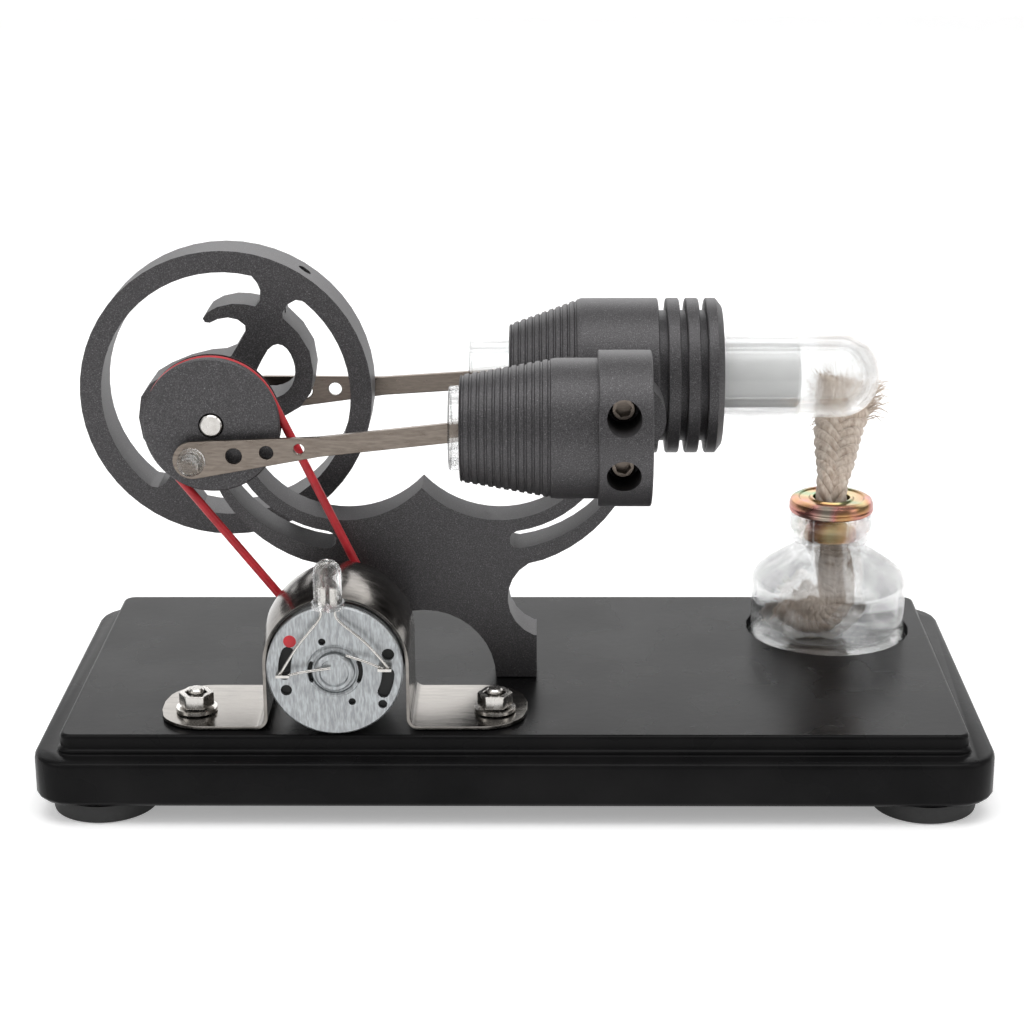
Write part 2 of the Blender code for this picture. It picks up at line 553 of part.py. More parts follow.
def make_crank(coated, steel):
    spin = axis_empty("crank_axis", (SHAFT_X, 0, AXIS_Z))
    at = (SHAFT_X, 0, AXIS_Z)
    front, back, tip = DISC_FRONT - 0.4 * MM, FLYWHEEL_BACK + 1.6 * MM, 0.25 * MM
    profile = [(0, front), (SHAFT_RADIUS - tip, front), (SHAFT_RADIUS, front + tip),
               (SHAFT_RADIUS, back - tip), (SHAFT_RADIUS - tip, back), (0, back)]
    turned("crank_shaft", profile, "y", at, steel, SMALL, parent=spin)

    bore, floor = SHAFT_RADIUS + GAP, BELT_ON_DISC - BELT_RADIUS - GAP
    section = [(bore, DISC_FRONT), (DISC_RADIUS - 0.2 * MM, DISC_FRONT),
               (DISC_RADIUS, DISC_FRONT + 0.2 * MM), (DISC_RADIUS, GROOVE_FRONT),
               (floor, GROOVE_FRONT), (floor, GROOVE_BACK),
               (DISC_RADIUS, GROOVE_BACK), (DISC_RADIUS, DISC_BACK), (bore, DISC_BACK)]
    disc = turned("crank_disc", section, "y", at, coated, ROUND, hollow=True, parent=spin)
    reach = DISC_RADIUS - DISC_FLAT_DEPTH
    flat = place("disc_flat", block_mesh((reach, -20 * MM, -10 * MM), (reach + 5 * MM, 0, 10 * MM)),
                 None, at)
    flat.rotation_euler = (0, -DISC_FLAT_ANGLE, 0)
    cut(disc, [flat, radial_drill(1.0 * MM, math.radians(60), 1.0 * MM, 13 * MM, BELT_Y)])

    wheel_y = make_flywheel(coated, spin)
    turned("flywheel_setscrew", rod(1.0 * MM, 2.4 * MM, 6.4 * MM), radial_turning(SETSCREW_ANGLE),
           (SHAFT_X, wheel_y, AXIS_Z), steel, 12, parent=spin)
    turned("disc_setscrew", rod(0.7 * MM, 2.4 * MM, 6.4 * MM), radial_turning(math.radians(60)),
           (SHAFT_X, BELT_Y, AXIS_Z), steel, 12, parent=spin)

    for name, angle, start, end in (
            ("power_crank_pin", POWER_CRANK_ANGLE, POWER_Y + 0.5 * MM + GAP, DISC_FRONT - GAP),
            ("displacer_crank_pin", DISPLACER_CRANK_ANGLE, FLYWHEEL_BACK + GAP,
             DISPLACER_Y - 0.5 * MM - GAP)):
        x, z = crank_point(angle)
        turned(name, rod(2.0 * MM, start, end), "y", (x, 0, z), steel, SMALL, parent=spin)


def rod_outline():
    """A flat rod along +X from its crank pin: a wide eye, a taper, then an even strip."""
    eye, strip, taper_end, round_end = 3.45 * MM, 1.8 * MM, 23 * MM, ROD_LENGTH
    points = arc(0, 0, eye, math.radians(86), math.radians(274), 16)
    points += [(taper_end, -strip)]
    points += arc(round_end, 0, strip, math.radians(-90), math.radians(90), 9)
    points += [(taper_end, strip)]
    return points


def make_rod(name, angle, y, steel, clear, parent):
    """A connecting rod with three lightening holes, and the clear cap on its crank pin."""
    x, z = crank_point(angle)
    tilt = math.asin((AXIS_Z - z) / ROD_LENGTH)
    holes = [arc(at, 0, radius, 0, 2 * math.pi, 17)[:-1]
             for at, radius in ((7.6 * MM, 1.5 * MM), (13.5 * MM, 1.28 * MM),
                                (19.4 * MM, 1.0 * MM), (0, 1.1 * MM), (ROD_LENGTH, 1.15 * MM))]
    strip = plate(name, rod_outline(), holes, -0.5 * MM, 0.5 * MM, (x, y, z), steel, parent)
    strip.rotation_euler = (0, -tilt, 0)
    facing = -1 if y < 0 else 1
    steps = [(0, 0.4), (0.8, 0.4), (0.8, 0.8), (2.5, 0.8), (2.5, 1.9), (2.15, 2.3), (2.15, 3.4),
             (1.6, 3.8), (1.5, 5.3), (1.0, 5.8), (0, 5.9)]
    profile = [(radius * MM, facing * along * MM) for radius, along in steps]
    turned(name + "_pin_cap", profile, "y", (x, y, z), clear, SMALL, parent=parent)


def make_power_train(steel, graphite, clear):
    x = wrist_x(POWER_CRANK_ANGLE)
    slide = axis_empty("power_slide_axis", (x, POWER_Y, AXIS_Z))
    cup = 4.6 * MM
    section = [(0, 3.0 * MM), (0, 7.0 * MM), (PISTON_RADIUS - 0.2 * MM, 7.0 * MM),
               (PISTON_RADIUS, 6.8 * MM), (PISTON_RADIUS, -2.5 * MM), (cup, -2.5 * MM),
               (cup, 3.0 * MM)]
    piston = place("power_piston", closed_turned_mesh(section), graphite,
                   (x, POWER_Y, AXIS_Z), slide)
    cut(piston, [drill(PIN_RADIUS + GAP, "y", -10 * MM, 10 * MM, (x, POWER_Y, AXIS_Z), 12)])
    turned("power_wrist_pin", rod(PIN_RADIUS, -5.7 * MM, 5.7 * MM), "y", (x, POWER_Y, AXIS_Z), steel,
           12, parent=slide)
    make_rod("power_rod", POWER_CRANK_ANGLE, POWER_Y, steel, clear, slide)


def make_displacer_train(steel, graphite, clear, white):
    x = wrist_x(DISPLACER_CRANK_ANGLE)
    slide = axis_empty("displacer_slide_axis", (x, DISPLACER_Y, AXIS_Z))
    cup = 4.6 * MM
    section = [(0, 2.4 * MM), (0, 6.0 * MM), (PISTON_RADIUS, 6.0 * MM),
               (PISTON_RADIUS, -2.0 * MM), (cup, -2.0 * MM), (cup, 2.4 * MM)]
    guide = place("guide_piston", closed_turned_mesh(section), graphite,
                  (x, DISPLACER_Y, AXIS_Z), slide)
    cut(guide, [drill(PIN_RADIUS + GAP, "y", -10 * MM, 10 * MM, (x, DISPLACER_Y, AXIS_Z), 12)])
    turned("displacer_wrist_pin", rod(PIN_RADIUS, -5.7 * MM, 5.7 * MM), "y",
           (x, DISPLACER_Y, AXIS_Z), steel, 12, parent=slide)
    at = (0, DISPLACER_Y, AXIS_Z)
    start, end, radius = 28.0 * MM, 54.5 * MM, 6.2 * MM
    turned("displacer_stem", rod(1.0 * MM, x + 6.3 * MM, start - GAP), "x", at, steel, 12,
           parent=slide)
    profile = [(0, start), (radius - 0.8 * MM, start), (radius, start + 0.8 * MM),
               (radius, end - 0.8 * MM), (radius - 0.8 * MM, end), (0, end)]
    turned("displacer", profile, "x", at, white, ROUND, parent=slide)
    make_rod("displacer_rod", DISPLACER_CRANK_ANGLE, DISPLACER_Y, steel, clear, slide)


# ================================================================ generator, belt, LED
def make_motor(zinc, steel, brass, copper, magnet):
    at = (MOTOR_X, 0, MOTOR_Z)
    cap_depth, wall, radius = 1.0 * MM, 0.7 * MM, MOTOR_RADIUS
    front = MOTOR_FRONT + cap_depth
    section = [(radius - wall, front + GAP), (radius, front + GAP), (radius, MOTOR_BACK - 0.8 * MM),
               (radius - 0.8 * MM, MOTOR_BACK), (1.5 * MM, MOTOR_BACK),
               (1.5 * MM, MOTOR_BACK - wall), (radius - wall, MOTOR_BACK - wall)]
    turned("motor_can", section, "y", at, zinc, ROUND, hollow=True)
    cap = [(0, front), (radius, front), (radius, MOTOR_FRONT + 0.3 * MM),
           (radius - 0.4 * MM, MOTOR_FRONT), (3.6 * MM, MOTOR_FRONT), (3.5 * MM, front - 1.8 * MM),
           (3.0 * MM, front - 2.0 * MM), (2.4 * MM, front - 1.5 * MM), (0, front - 1.5 * MM)]
    turned("motor_end_cap", cap, "y", at, zinc, ROUND)
    turned("motor_magnet_ring", tube(10.9 * MM, 8.6 * MM, front + 3 * MM, MOTOR_BACK - 2 * MM), "y",
           at, magnet, ROUND, hollow=True)
    for side, label in ((-1, "left"), (1, "right")):
        made = block_mesh((-1.2 * MM, -2.4 * MM, -0.25 * MM), (1.2 * MM, -GAP, 0.25 * MM))
        place(f"motor_terminal_{label}", made, brass,
              (MOTOR_X + side * 8.9 * MM, MOTOR_FRONT, MOTOR_Z + (0.4 + 0.6 * side) * MM))

    spin = axis_empty("motor_axis", at)
    pulley_back = DISC_BACK
    turned("motor_shaft", rod(1.0 * MM, front + 2 * MM, pulley_back - 0.2 * MM), "y", at, steel, 16,
           parent=spin)
    bore = 1.3 * MM
    turned("motor_rotor", tube(8.2 * MM, bore, front + 4 * MM, MOTOR_BACK - 3 * MM), "y", at, copper,
           SMALL, hollow=True, parent=spin)
    floor, rim = BELT_ON_PULLEY - BELT_RADIUS - GAP, BELT_ON_PULLEY + 0.5 * MM
    pulley = [(bore, DISC_FRONT), (rim, DISC_FRONT), (rim, GROOVE_FRONT),
              (floor, GROOVE_FRONT), (floor, GROOVE_BACK),
              (rim, GROOVE_BACK), (rim, DISC_BACK), (bore, DISC_BACK)]
    turned("motor_pulley", pulley, "y", at, brass, ROUND, hollow=True, parent=spin)


def belt_path():
    """The belt's centre line: round the crank disc, down, round the motor pulley and back."""
    disc, pulley = Vector((SHAFT_X, AXIS_Z)), Vector((MOTOR_X, MOTOR_Z))
    way = pulley - disc
    heading = math.atan2(way.y, way.x)
    lean = math.acos((BELT_ON_DISC - BELT_ON_PULLEY) / way.length)
    points = arc(*disc, BELT_ON_DISC, heading + lean, heading + 2 * math.pi - lean, 26)
    points += arc(*pulley, BELT_ON_PULLEY, heading - lean, heading + lean, 14)
    return points


def make_belt(red):
    made = bmesh.new()
    path = [Vector((x, BELT_Y, z)) for x, z in belt_path()]
    sides, rings = 6, []
    for k, point in enumerate(path):
        ahead = (path[(k + 1) % len(path)] - path[k - 1]).normalized()
        out = ahead.cross(Vector((0, 1, 0)))
        rings.append([made.verts.new(point + BELT_RADIUS * (math.cos(2 * math.pi * s / sides) * out
                                                            + math.sin(2 * math.pi * s / sides)
                                                            * Vector((0, 1, 0))))
                      for s in range(sides)])
    for k, ring in enumerate(rings):
        after = rings[(k + 1) % len(rings)]
        for s in range(sides):
            made.faces.new((ring[s], ring[(s + 1) % sides], after[(s + 1) % sides], after[s]))
    place("drive_belt", made, red, (0, 0, 0))


def strap_line(offset):
    """The strap's front view at an offset from the motor, from one foot's end to the other."""
    reach = MOTOR_RADIUS + GAP + offset
    foot_z = BOARD_TOP + GAP + offset
    left_end, right_end = -32.3 * MM, 33.6 * MM
    bend = 2.2 * MM - offset
    points = [(left_end, foot_z)]
    points += arc(-reach - bend, foot_z + bend, bend, math.radians(-90), 0, 5)
    points += arc(0, MOTOR_Z, reach, math.pi, 0, 25)
    points += arc(reach + bend, foot_z + bend, bend, math.pi, math.radians(270), 5)
    points += [(right_end, foot_z)]
    return points


def round_strap_ends(strap):
    """Rounds the corners of the strap's two feet, as seen from above."""
    made = bmesh.new()
    made.from_mesh(strap.data)
    reach = max(abs(vert.co.x) for vert in made.verts) - 3 * MM
    corners = [edge for edge in made.edges
               if is_along(edge, 2) and min(abs(vert.co.x) for vert in edge.verts) > reach]
    bmesh.ops.bevel(made, geom=corners, offset=8.0 * MM, segments=5, affect="EDGES")
    made.to_mesh(strap.data)
    made.free()


def make_strap(steel):
    """A saddle clamp of thin sheet whose band swells outwards between its edges."""
    outline = strap_line(0) + list(reversed(strap_line(STRAP_THICKNESS)))
    strap = plate("motor_strap", outline, [], STRAP_FRONT, STRAP_BACK, (MOTOR_X, 0, 0), steel)
    round_strap_ends(strap)
    bore = 1.8 * MM
    cut(strap, [drill(bore, "z", BOARD_TOP - MM, BOARD_TOP + 3 * MM, (x, STRAP_BOLT_Y, 0), 16)
                for x in STRAP_BOLTS_X])
    washer_low = BOARD_TOP + GAP + STRAP_THICKNESS + GAP
    washer_high = washer_low + 0.6 * MM
    nut_low = washer_high + GAP
    nut_high = nut_low + 2.4 * MM
    for x, label in zip(STRAP_BOLTS_X, ("left", "right")):
        at = (x, STRAP_BOLT_Y, 0)
        turned(f"strap_washer_{label}", tube(3.7 * MM, bore, washer_low, washer_high), "z", at,
               steel, SMALL, hollow=True)
        make_nut(f"strap_nut_{label}", nut_low, nut_high, at, steel)


def make_nut(name, low, high, at, steel):
    """A hexagon nut, 5.5 mm across flats, with chamfered corners and a clear bore."""
    across = 2.75 * MM / math.cos(math.pi / 6)
    chamfer, bore = 0.3 * MM, 1.8 * MM
    made = turned_mesh([(bore, low), (across, low), (across, high), (bore, high)], "z", 6, True)
    nut = place(name, made, steel, at)
    for vert in nut.data.vertices:
        if vert.co.xy.length < across * 0.9:
            vert.co.xy = vert.co.xy.normalized() * (bore / math.cos(math.pi / 6))
    corner = turned("corner", [(across - chamfer, low - MM), (across + 2 * MM, low - MM),
                               (across + 2 * MM, high + MM), (across - chamfer, high + MM),
                               (across, high - chamfer), (across, low + chamfer)],
                    "z", at, None, SMALL, hollow=True)
    return cut(nut, [corner])


def make_led(clear, wire):
    led_y, radius = MOTOR_FRONT - 1.1 * MM, 2.5 * MM
    low, high = BOARD_TOP + 24.6 * MM, BOARD_TOP + 33.3 * MM
    dome = [(radius * math.cos(a), high - radius + radius * math.sin(a))
            for a in (math.radians(step) for step in range(0, 90, 18))]
    profile = [(0, low), (radius + 0.4 * MM, low), (radius + 0.4 * MM, low + 1.0 * MM),
               (radius, low + 1.0 * MM)] + dome + [(0, high)]
    led_x = MOTOR_X - 0.7 * MM
    turned("led_lens", profile, "z", (led_x, led_y, 0), clear, SMALL)
    for side, label in ((-1, "left"), (1, "right")):
        foot = Vector((MOTOR_X + side * 8.9 * MM, led_y - 0.5 * MM,
                       MOTOR_Z + (1.4 + 0.6 * side) * MM))
        head = Vector((led_x + side * 1.27 * MM, led_y, low - GAP))
        knee = head + Vector((side * 0.3 * MM, -0.2 * MM, -1.6 * MM))
        wire_curve(f"led_leg_{label}", [head, knee, foot], 0.27 * MM, wire)


def wire_curve(name, points, radius, material, bevel=2, swell=None):
    """A round wire or wick through its points, with closed ends."""
    curve = bpy.data.curves.new(name, "CURVE")
    curve.dimensions = "3D"
    curve.bevel_depth = radius
    curve.bevel_resolution = bevel
    curve.use_fill_caps = True
    curve.render_resolution_u = 0
    spline = curve.splines.new("POLY")
    spline.points.add(len(points) - 1)
    for target, point, factor in zip(spline.points, points, swell or [1.0] * len(points)):
        target.co = (*point, 1)
        target.radius = factor
    curve.materials.append(material)
    item = bpy.data.objects.new(name, curve)
    bpy.context.scene.collection.objects.link(item)
    return item


# ================================================================ burner
def make_burner(glass, zinc, cotton):
    at = (BURNER_X, BURNER_Y, 0)
    low = BOARD_TOP - RECESS_DEPTH + GAP
    top, wall = BOARD_TOP, 1.3 * MM
    outer = [(0, low), (BOTTLE_RADIUS - 1.2 * MM, low), (BOTTLE_RADIUS, low + 1.2 * MM),
             (BOTTLE_RADIUS, top + 10.6 * MM), (14.2 * MM, top + 12.9 * MM),
             (12.0 * MM, top + 14.6 * MM), (8.4 * MM, top + 15.8 * MM), (6.8 * MM, top + 17.3 * MM),
             (6.8 * MM, top + 20.4 * MM), (7.9 * MM, top + 20.9 * MM), (7.9 * MM, top + 23.4 * MM),
             (7.4 * MM, top + 23.9 * MM)]
    inner = [(5.4 * MM, top + 23.9 * MM), (5.4 * MM, top + 17.0 * MM), (7.0 * MM, top + 14.6 * MM),
             (11.2 * MM, top + 13.2 * MM), (13.7 * MM, top + 10.4 * MM), (13.7 * MM, low + 2.2 * MM),
             (12.7 * MM, low + wall), (0, low + wall)]
    turned("burner_bottle", outer + inner, "z", at, glass, ROUND)
    seat, hole = top + 23.9 * MM + GAP, 3.5 * MM
    cap = [(hole, seat - 2.5 * MM), (5.0 * MM, seat - 2.5 * MM), (5.0 * MM, seat),
           (8.0 * MM, seat), (8.1 * MM, seat + 0.3 * MM), (8.1 * MM, seat + 2.0 * MM),
           (7.5 * MM, seat + 2.7 * MM), (hole, seat + 2.7 * MM)]
    turned("burner_cap", cap, "z", at, zinc, ROUND, hollow=True)
    route = [(-7.4, -2.2, 6.4), (-4.6, -2.2, 4.2), (-1.4, -1.6, 3.7), (0.9, -0.8, 5.9),
             (1.5, -0.3, 9.0), (0.9, 0.0, 13.5), (0.2, 0.0, 19.0), (0.0, 0.0, 28.2),
             (0.9, 3.4, 32.5), (1.9, 9.0, 36.5), (3.4, 14.2, 40.5), (4.4, 16.4, 45.0)]
    swell = [0.9] * 7 + [1.0, 1.05, 1.15, 1.25, 1.3]
    points = [Vector((BURNER_X + x * MM, BURNER_Y + y * MM, BOARD_TOP + z * MM))
              for x, y, z in route]
    wire_curve("burner_wick", points, 3.1 * MM, cotton, swell=swell)


# ================================================================ the whole engine
def main():
    clear_scene()
    lacquer = finish("black_lacquer", (0.012, 0.012, 0.013), 0.12, 0.0)
    rubber = finish("black_rubber", (0.02, 0.02, 0.02), 0.7, 0.0)
    coated = finish("coated_aluminium", (0.075, 0.075, 0.08), 0.45, 0.6)
    steel = finish("bright_steel", (0.55, 0.53, 0.5), 0.28, 1.0)
    nickel = finish("nickel_strip", (0.36, 0.32, 0.28), 0.38, 1.0)
    zinc = finish("zinc_plate", (0.42, 0.44, 0.46), 0.35, 1.0)
    brass = finish("brass", (0.6, 0.43, 0.2), 0.3, 1.0)
    copper = finish("copper_winding", (0.5, 0.2, 0.09), 0.4, 1.0)
    magnet = finish("magnet", (0.05, 0.05, 0.055), 0.5, 0.3)
    glass = finish("clear_glass", (0.9, 0.93, 0.93), 0.03, 0.0, 0.25)
    clear = finish("clear_resin", (0.8, 0.82, 0.8), 0.1, 0.0, 0.45)
    graphite = finish("graphite", (0.09, 0.09, 0.1), 0.4, 0.3)
    white = finish("displacer_white", (0.6, 0.6, 0.58), 0.5, 0.0)
    red = finish("red_rubber", (0.5, 0.01, 0.02), 0.45, 0.0)
    cotton = finish("cotton_wick", (0.62, 0.5, 0.38), 0.9, 0.0)

    make_board(lacquer, rubber)
    make_bolts(steel)
    make_frame(coated)
    make_bearings(steel)
    make_power_cylinder(coated, glass, rubber, steel)
    make_transfer_block(coated)
    make_heat_sink(coated, glass, rubber)
    make_crank(coated, steel)
    make_power_train(nickel, graphite, clear)
    make_displacer_train(nickel, graphite, clear, white)
    make_motor(zinc, steel, brass, copper, magnet)
    make_belt(red)
    make_strap(steel)
    make_led(clear, steel)
    make_burner(glass, zinc, cotton)


main()
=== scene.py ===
import json
import math
import random

import bmesh
import bpy
from mathutils import Matrix, Vector


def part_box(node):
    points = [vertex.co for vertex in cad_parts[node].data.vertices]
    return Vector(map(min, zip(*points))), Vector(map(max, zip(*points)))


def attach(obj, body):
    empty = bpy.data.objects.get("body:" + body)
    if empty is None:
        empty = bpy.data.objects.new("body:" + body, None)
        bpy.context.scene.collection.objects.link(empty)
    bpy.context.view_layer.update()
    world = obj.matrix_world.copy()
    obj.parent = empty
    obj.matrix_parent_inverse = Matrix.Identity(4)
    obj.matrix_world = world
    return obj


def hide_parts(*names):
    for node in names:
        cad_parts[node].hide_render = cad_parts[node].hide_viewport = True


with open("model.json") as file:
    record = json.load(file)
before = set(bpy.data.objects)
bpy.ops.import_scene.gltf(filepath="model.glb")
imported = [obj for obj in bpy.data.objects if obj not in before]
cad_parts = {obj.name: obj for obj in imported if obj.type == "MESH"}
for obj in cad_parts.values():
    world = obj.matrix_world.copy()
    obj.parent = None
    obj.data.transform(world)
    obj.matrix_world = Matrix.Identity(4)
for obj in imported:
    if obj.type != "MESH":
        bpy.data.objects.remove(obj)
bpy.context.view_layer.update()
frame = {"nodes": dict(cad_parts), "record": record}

NODES = frame["nodes"]
MM = 0.001
SMOOTH_ANGLE = 34.0               # degrees; edges sharper than this stay crisp
random.seed(7)

# Places shared with the CAD model.
AXIS_Z, SHAFT_X = 65.9 * MM, -54.3 * MM
POWER_Y, DISPLACER_Y = -14.7 * MM, 22.3 * MM
MOTOR_X, MOTOR_Z, MOTOR_FRONT = -31.2 * MM, 27.9 * MM, -36.0 * MM
BOARD_TOP = 15.6 * MM
BURNER_X, BURNER_Y = 61.3 * MM, 18.6 * MM
CLAMP_SCREW_X, CLAMP_SCREW_OFFSET = 19.4 * MM, 5.2 * MM
BELT_Y, BELT_RADIUS = -10.55 * MM, 0.8 * MM
BELT_ON_DISC, BELT_ON_PULLEY = 11.6 * MM, 6.55 * MM


# ================================================================ materials
def new_material(name):
    """A material with its node tree and its shader."""
    made = bpy.data.materials.new(name)
    made.use_nodes = True
    tree = made.node_tree
    return made, tree, tree.nodes["Principled BSDF"]


def node(tree, kind, **sockets):
    """A node with its input sockets set."""
    made = tree.nodes.new(kind)
    for key, value in sockets.items():
        made.inputs[key].default_value = value
    return made


def noise(tree, scale, detail=3.0, stretch=None, rough=0.5):
    """Noise in the object's own space, in cells per metre, stretched if asked."""
    place = tree.nodes.new("ShaderNodeTexCoord")
    made = node(tree, "ShaderNodeTexNoise", Scale=scale, Detail=detail, Roughness=rough)
    source = place.outputs["Object"]
    if stretch:
        mapped = node(tree, "ShaderNodeMapping", Scale=stretch)
        tree.links.new(source, mapped.inputs["Vector"])
        source = mapped.outputs["Vector"]
    tree.links.new(source, made.inputs["Vector"])
    return made.outputs["Fac"]


def ramp(tree, factor, stops):
    """A colour ramp with (position, colour) stops."""
    made = tree.nodes.new("ShaderNodeValToRGB")
    bar = made.color_ramp
    while len(bar.elements) < len(stops):
        bar.elements.new(0.5)
    for item, (at, color) in zip(bar.elements, stops):
        item.position = at
        item.color = (*color, 1) if len(color) == 3 else color
    tree.links.new(factor, made.inputs["Fac"])
    return made.outputs["Color"]


def bump(tree, shader, height, strength, distance):
    """Small relief on a shader's surface."""
    made = node(tree, "ShaderNodeBump", Strength=strength, Distance=distance)
    tree.links.new(height, made.inputs["Height"])
    tree.links.new(made.outputs["Normal"], shader.inputs["Normal"])


def varied(name, stops, scale, rough=(0.4, 0.5), metallic=0.0, bumps=None, stretch=None,
           detail=3.0, **sockets):
    """Colour and roughness that vary with one noise, and a bump from a finer one."""
    made, tree, shader = new_material(name)
    pattern = noise(tree, scale, detail, stretch)
    tree.links.new(ramp(tree, pattern, stops), shader.inputs["Base Color"])
    low, high = rough
    levels = ramp(tree, pattern, [(0.3, (low,) * 3), (0.7, (high,) * 3)])
    tree.links.new(levels, shader.inputs["Roughness"])
    shader.inputs["Metallic"].default_value = metallic
    for key, value in sockets.items():
        shader.inputs[key.replace("_", " ")].default_value = value
    if bumps:
        bump(tree, shader, noise(tree, bumps[0], 2.0, stretch), bumps[1], bumps[2])
    return made


def clear_material(name, tint, ior, rough, bumps, alpha):
    """Glass or clear resin with faint waves in its surface; alpha below 1 keeps it readable."""
    made, tree, shader = new_material(name)
    pattern = noise(tree, 90, 1.0)
    tree.links.new(ramp(tree, pattern, [(0.3, tint), (0.7, tuple(0.5 + c / 2 for c in tint))]),
                   shader.inputs["Base Color"])
    shader.inputs["Transmission Weight"].default_value = 1.0
    shader.inputs["IOR"].default_value = ior
    shader.inputs["Roughness"].default_value = rough
    shader.inputs["Alpha"].default_value = alpha
    bump(tree, shader, noise(tree, bumps[0], 1.0), bumps[1], 0.0002)
    return made


COATED = varied("coated_aluminium", [(0.30, (0.048, 0.046, 0.048)), (0.52, (0.080, 0.077, 0.080)),
                                     (0.66, (0.125, 0.121, 0.125)), (0.80, (0.30, 0.30, 0.305))],
                5200, (0.42, 0.54), 0.55, (3600, 0.16, 0.00012), detail=2.0)
LACQUER = varied("black_lacquer", [(0.3, (0.005, 0.0049, 0.0052)), (0.7, (0.011, 0.0107, 0.011))],
                 60, (0.24, 0.32), 0.0, (520, 0.05, 0.0003), Specular_IOR_Level=0.10, IOR=1.4)
RUBBER = varied("black_rubber", [(0.3, (0.010, 0.010, 0.010)), (0.7, (0.024, 0.024, 0.024))],
                900, (0.6, 0.75), 0.0, (1600, 0.2, 0.0001))
STEEL = varied("bright_steel", [(0.3, (0.52, 0.50, 0.475)), (0.7, (0.70, 0.68, 0.65))],
               700, (0.2, 0.3), 1.0, (2600, 0.04, 0.0001))
STRAP_STEEL = varied("strap_steel", [(0.3, (0.18, 0.168, 0.155)), (0.7, (0.29, 0.272, 0.252))],
                     500, (0.16, 0.26), 1.0, (2200, 0.04, 0.0001), (0.4, 2, 1))
NICKEL = varied("nickel_strip", [(0.3, (0.17, 0.142, 0.12)), (0.7, (0.265, 0.228, 0.196))],
                420, (0.26, 0.38), 1.0, (2400, 0.06, 0.0001), (1, 1, 6))
ZINC = varied("zinc_plate", [(0.35, (0.30, 0.312, 0.322)), (0.5, (0.39, 0.402, 0.412)),
                             (0.65, (0.50, 0.53, 0.54))],
              1900, (0.34, 0.46), 0.85, (2600, 0.08, 0.0001), (1.6, 1, 0.3))
BRASS = varied("brass", [(0.3, (0.52, 0.36, 0.15)), (0.7, (0.70, 0.52, 0.26))],
               500, (0.22, 0.34), 1.0, (2000, 0.05, 0.0001))
COPPER = varied("copper_winding", [(0.3, (0.40, 0.15, 0.07)), (0.7, (0.62, 0.26, 0.12))],
                900, (0.3, 0.42), 1.0, (1500, 0.3, 0.0002), (1, 8, 1))
MAGNET = varied("magnet", [(0.3, (0.035, 0.035, 0.038)), (0.7, (0.065, 0.065, 0.07))],
                800, (0.45, 0.6), 0.3, (1400, 0.15, 0.0001))
GRAPHITE = varied("graphite", [(0.3, (0.06, 0.06, 0.065)), (0.7, (0.13, 0.13, 0.14))],
                  600, (0.32, 0.45), 0.4, (1800, 0.08, 0.0001))
WHITE = varied("displacer_white", [(0.3, (0.87, 0.87, 0.86)), (0.7, (0.93, 0.93, 0.92))],
               260, (0.4, 0.55), 0.0, (900, 0.06, 0.0001))
RED = varied("red_rubber", [(0.3, (0.42, 0.006, 0.014)), (0.7, (0.62, 0.014, 0.026))],
             500, (0.36, 0.5), 0.0, (1800, 0.12, 0.0001), Sheen_Weight=0.2)
COTTON = varied("cotton_wick", [(0.3, (0.44, 0.335, 0.26)), (0.5, (0.61, 0.505, 0.42)),
                                (0.7, (0.74, 0.65, 0.56))],
                1500, (0.85, 0.95), 0.0, (2800, 0.6, 0.0003), (1, 1, 0.35), Sheen_Weight=0.5)
# Near-black painted shade: stands in for the shadowed inside of the motor, seen through the cap's
# slots and holes.
PAINTED_SHADE = varied("painted_slot_shade", [(0.3, (0.006, 0.006, 0.006)), (0.7, (0.012, 0.012, 0.012))],
              400, (0.6, 0.7))
CAP_PLATE = varied("passivated_zinc", [(0.34, (0.18, 0.30, 0.17)), (0.43, (0.42, 0.33, 0.16)),
                                       (0.52, (0.42, 0.22, 0.10)), (0.6, (0.50, 0.22, 0.20)),
                                       (0.7, (0.40, 0.34, 0.28))],
                   120, (0.2, 0.3), 1.0, (1500, 0.06, 0.0001), detail=1.5)
GLASS = clear_material("clear_glass", (0.86, 0.875, 0.875), 1.47, 0.0, (60, 0.03), 0.5)
BOTTLE_GLASS = clear_material("bottle_glass", (0.76, 0.77, 0.77), 1.47, 0.0, (60, 0.03), 0.55)
RESIN = clear_material("clear_resin", (0.93, 0.94, 0.93), 1.5, 0.04, (300, 0.05), 0.6)
FINISHES = {"black_lacquer": LACQUER, "black_rubber": RUBBER, "coated_aluminium": COATED,
            "bright_steel": STEEL, "nickel_strip": NICKEL, "zinc_plate": ZINC, "brass": BRASS,
            "copper_winding": COPPER, "magnet": MAGNET, "clear_glass": GLASS,
            "clear_resin": RESIN, "graphite": GRAPHITE, "displacer_white": WHITE,
            "red_rubber": RED, "cotton_wick": COTTON}
SLOT_OF = {item["node"]: item["material_slot"] for item in frame["record"]["subparts"]}
BODY_OF = {name: body for body, names in frame["record"]["behaviour"]["bodies"].items()
           for name in names}


# ================================================================ shaping
def settle(made, name, sharp=SMOOTH_ANGLE):
    """Turns a bmesh into an object, smooth except over edges sharper than an angle."""
    limit = math.radians(sharp)
    for face in made.faces:
        face.smooth = True
    for edge in made.edges:
        edge.smooth = len(edge.link_faces) == 2 and edge.calc_face_angle(0) < limit
    mesh = bpy.data.meshes.new(name)
    made.to_mesh(mesh)
    made.free()
    item = bpy.data.objects.new(name, mesh)
    bpy.context.scene.collection.objects.link(item)
    return item


def stands_for(item, name, material=None):
    """Gives a detailed piece its finish and body, in place of the CAD node named."""
    item.data.materials.append(material or FINISHES[SLOT_OF[name]])
    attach(item, BODY_OF[name])
    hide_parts(name)
    return item


def detail(item, near, material):
    """A small added piece that rides with the body of a node."""
    item.data.materials.append(material)
    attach(item, BODY_OF[near])


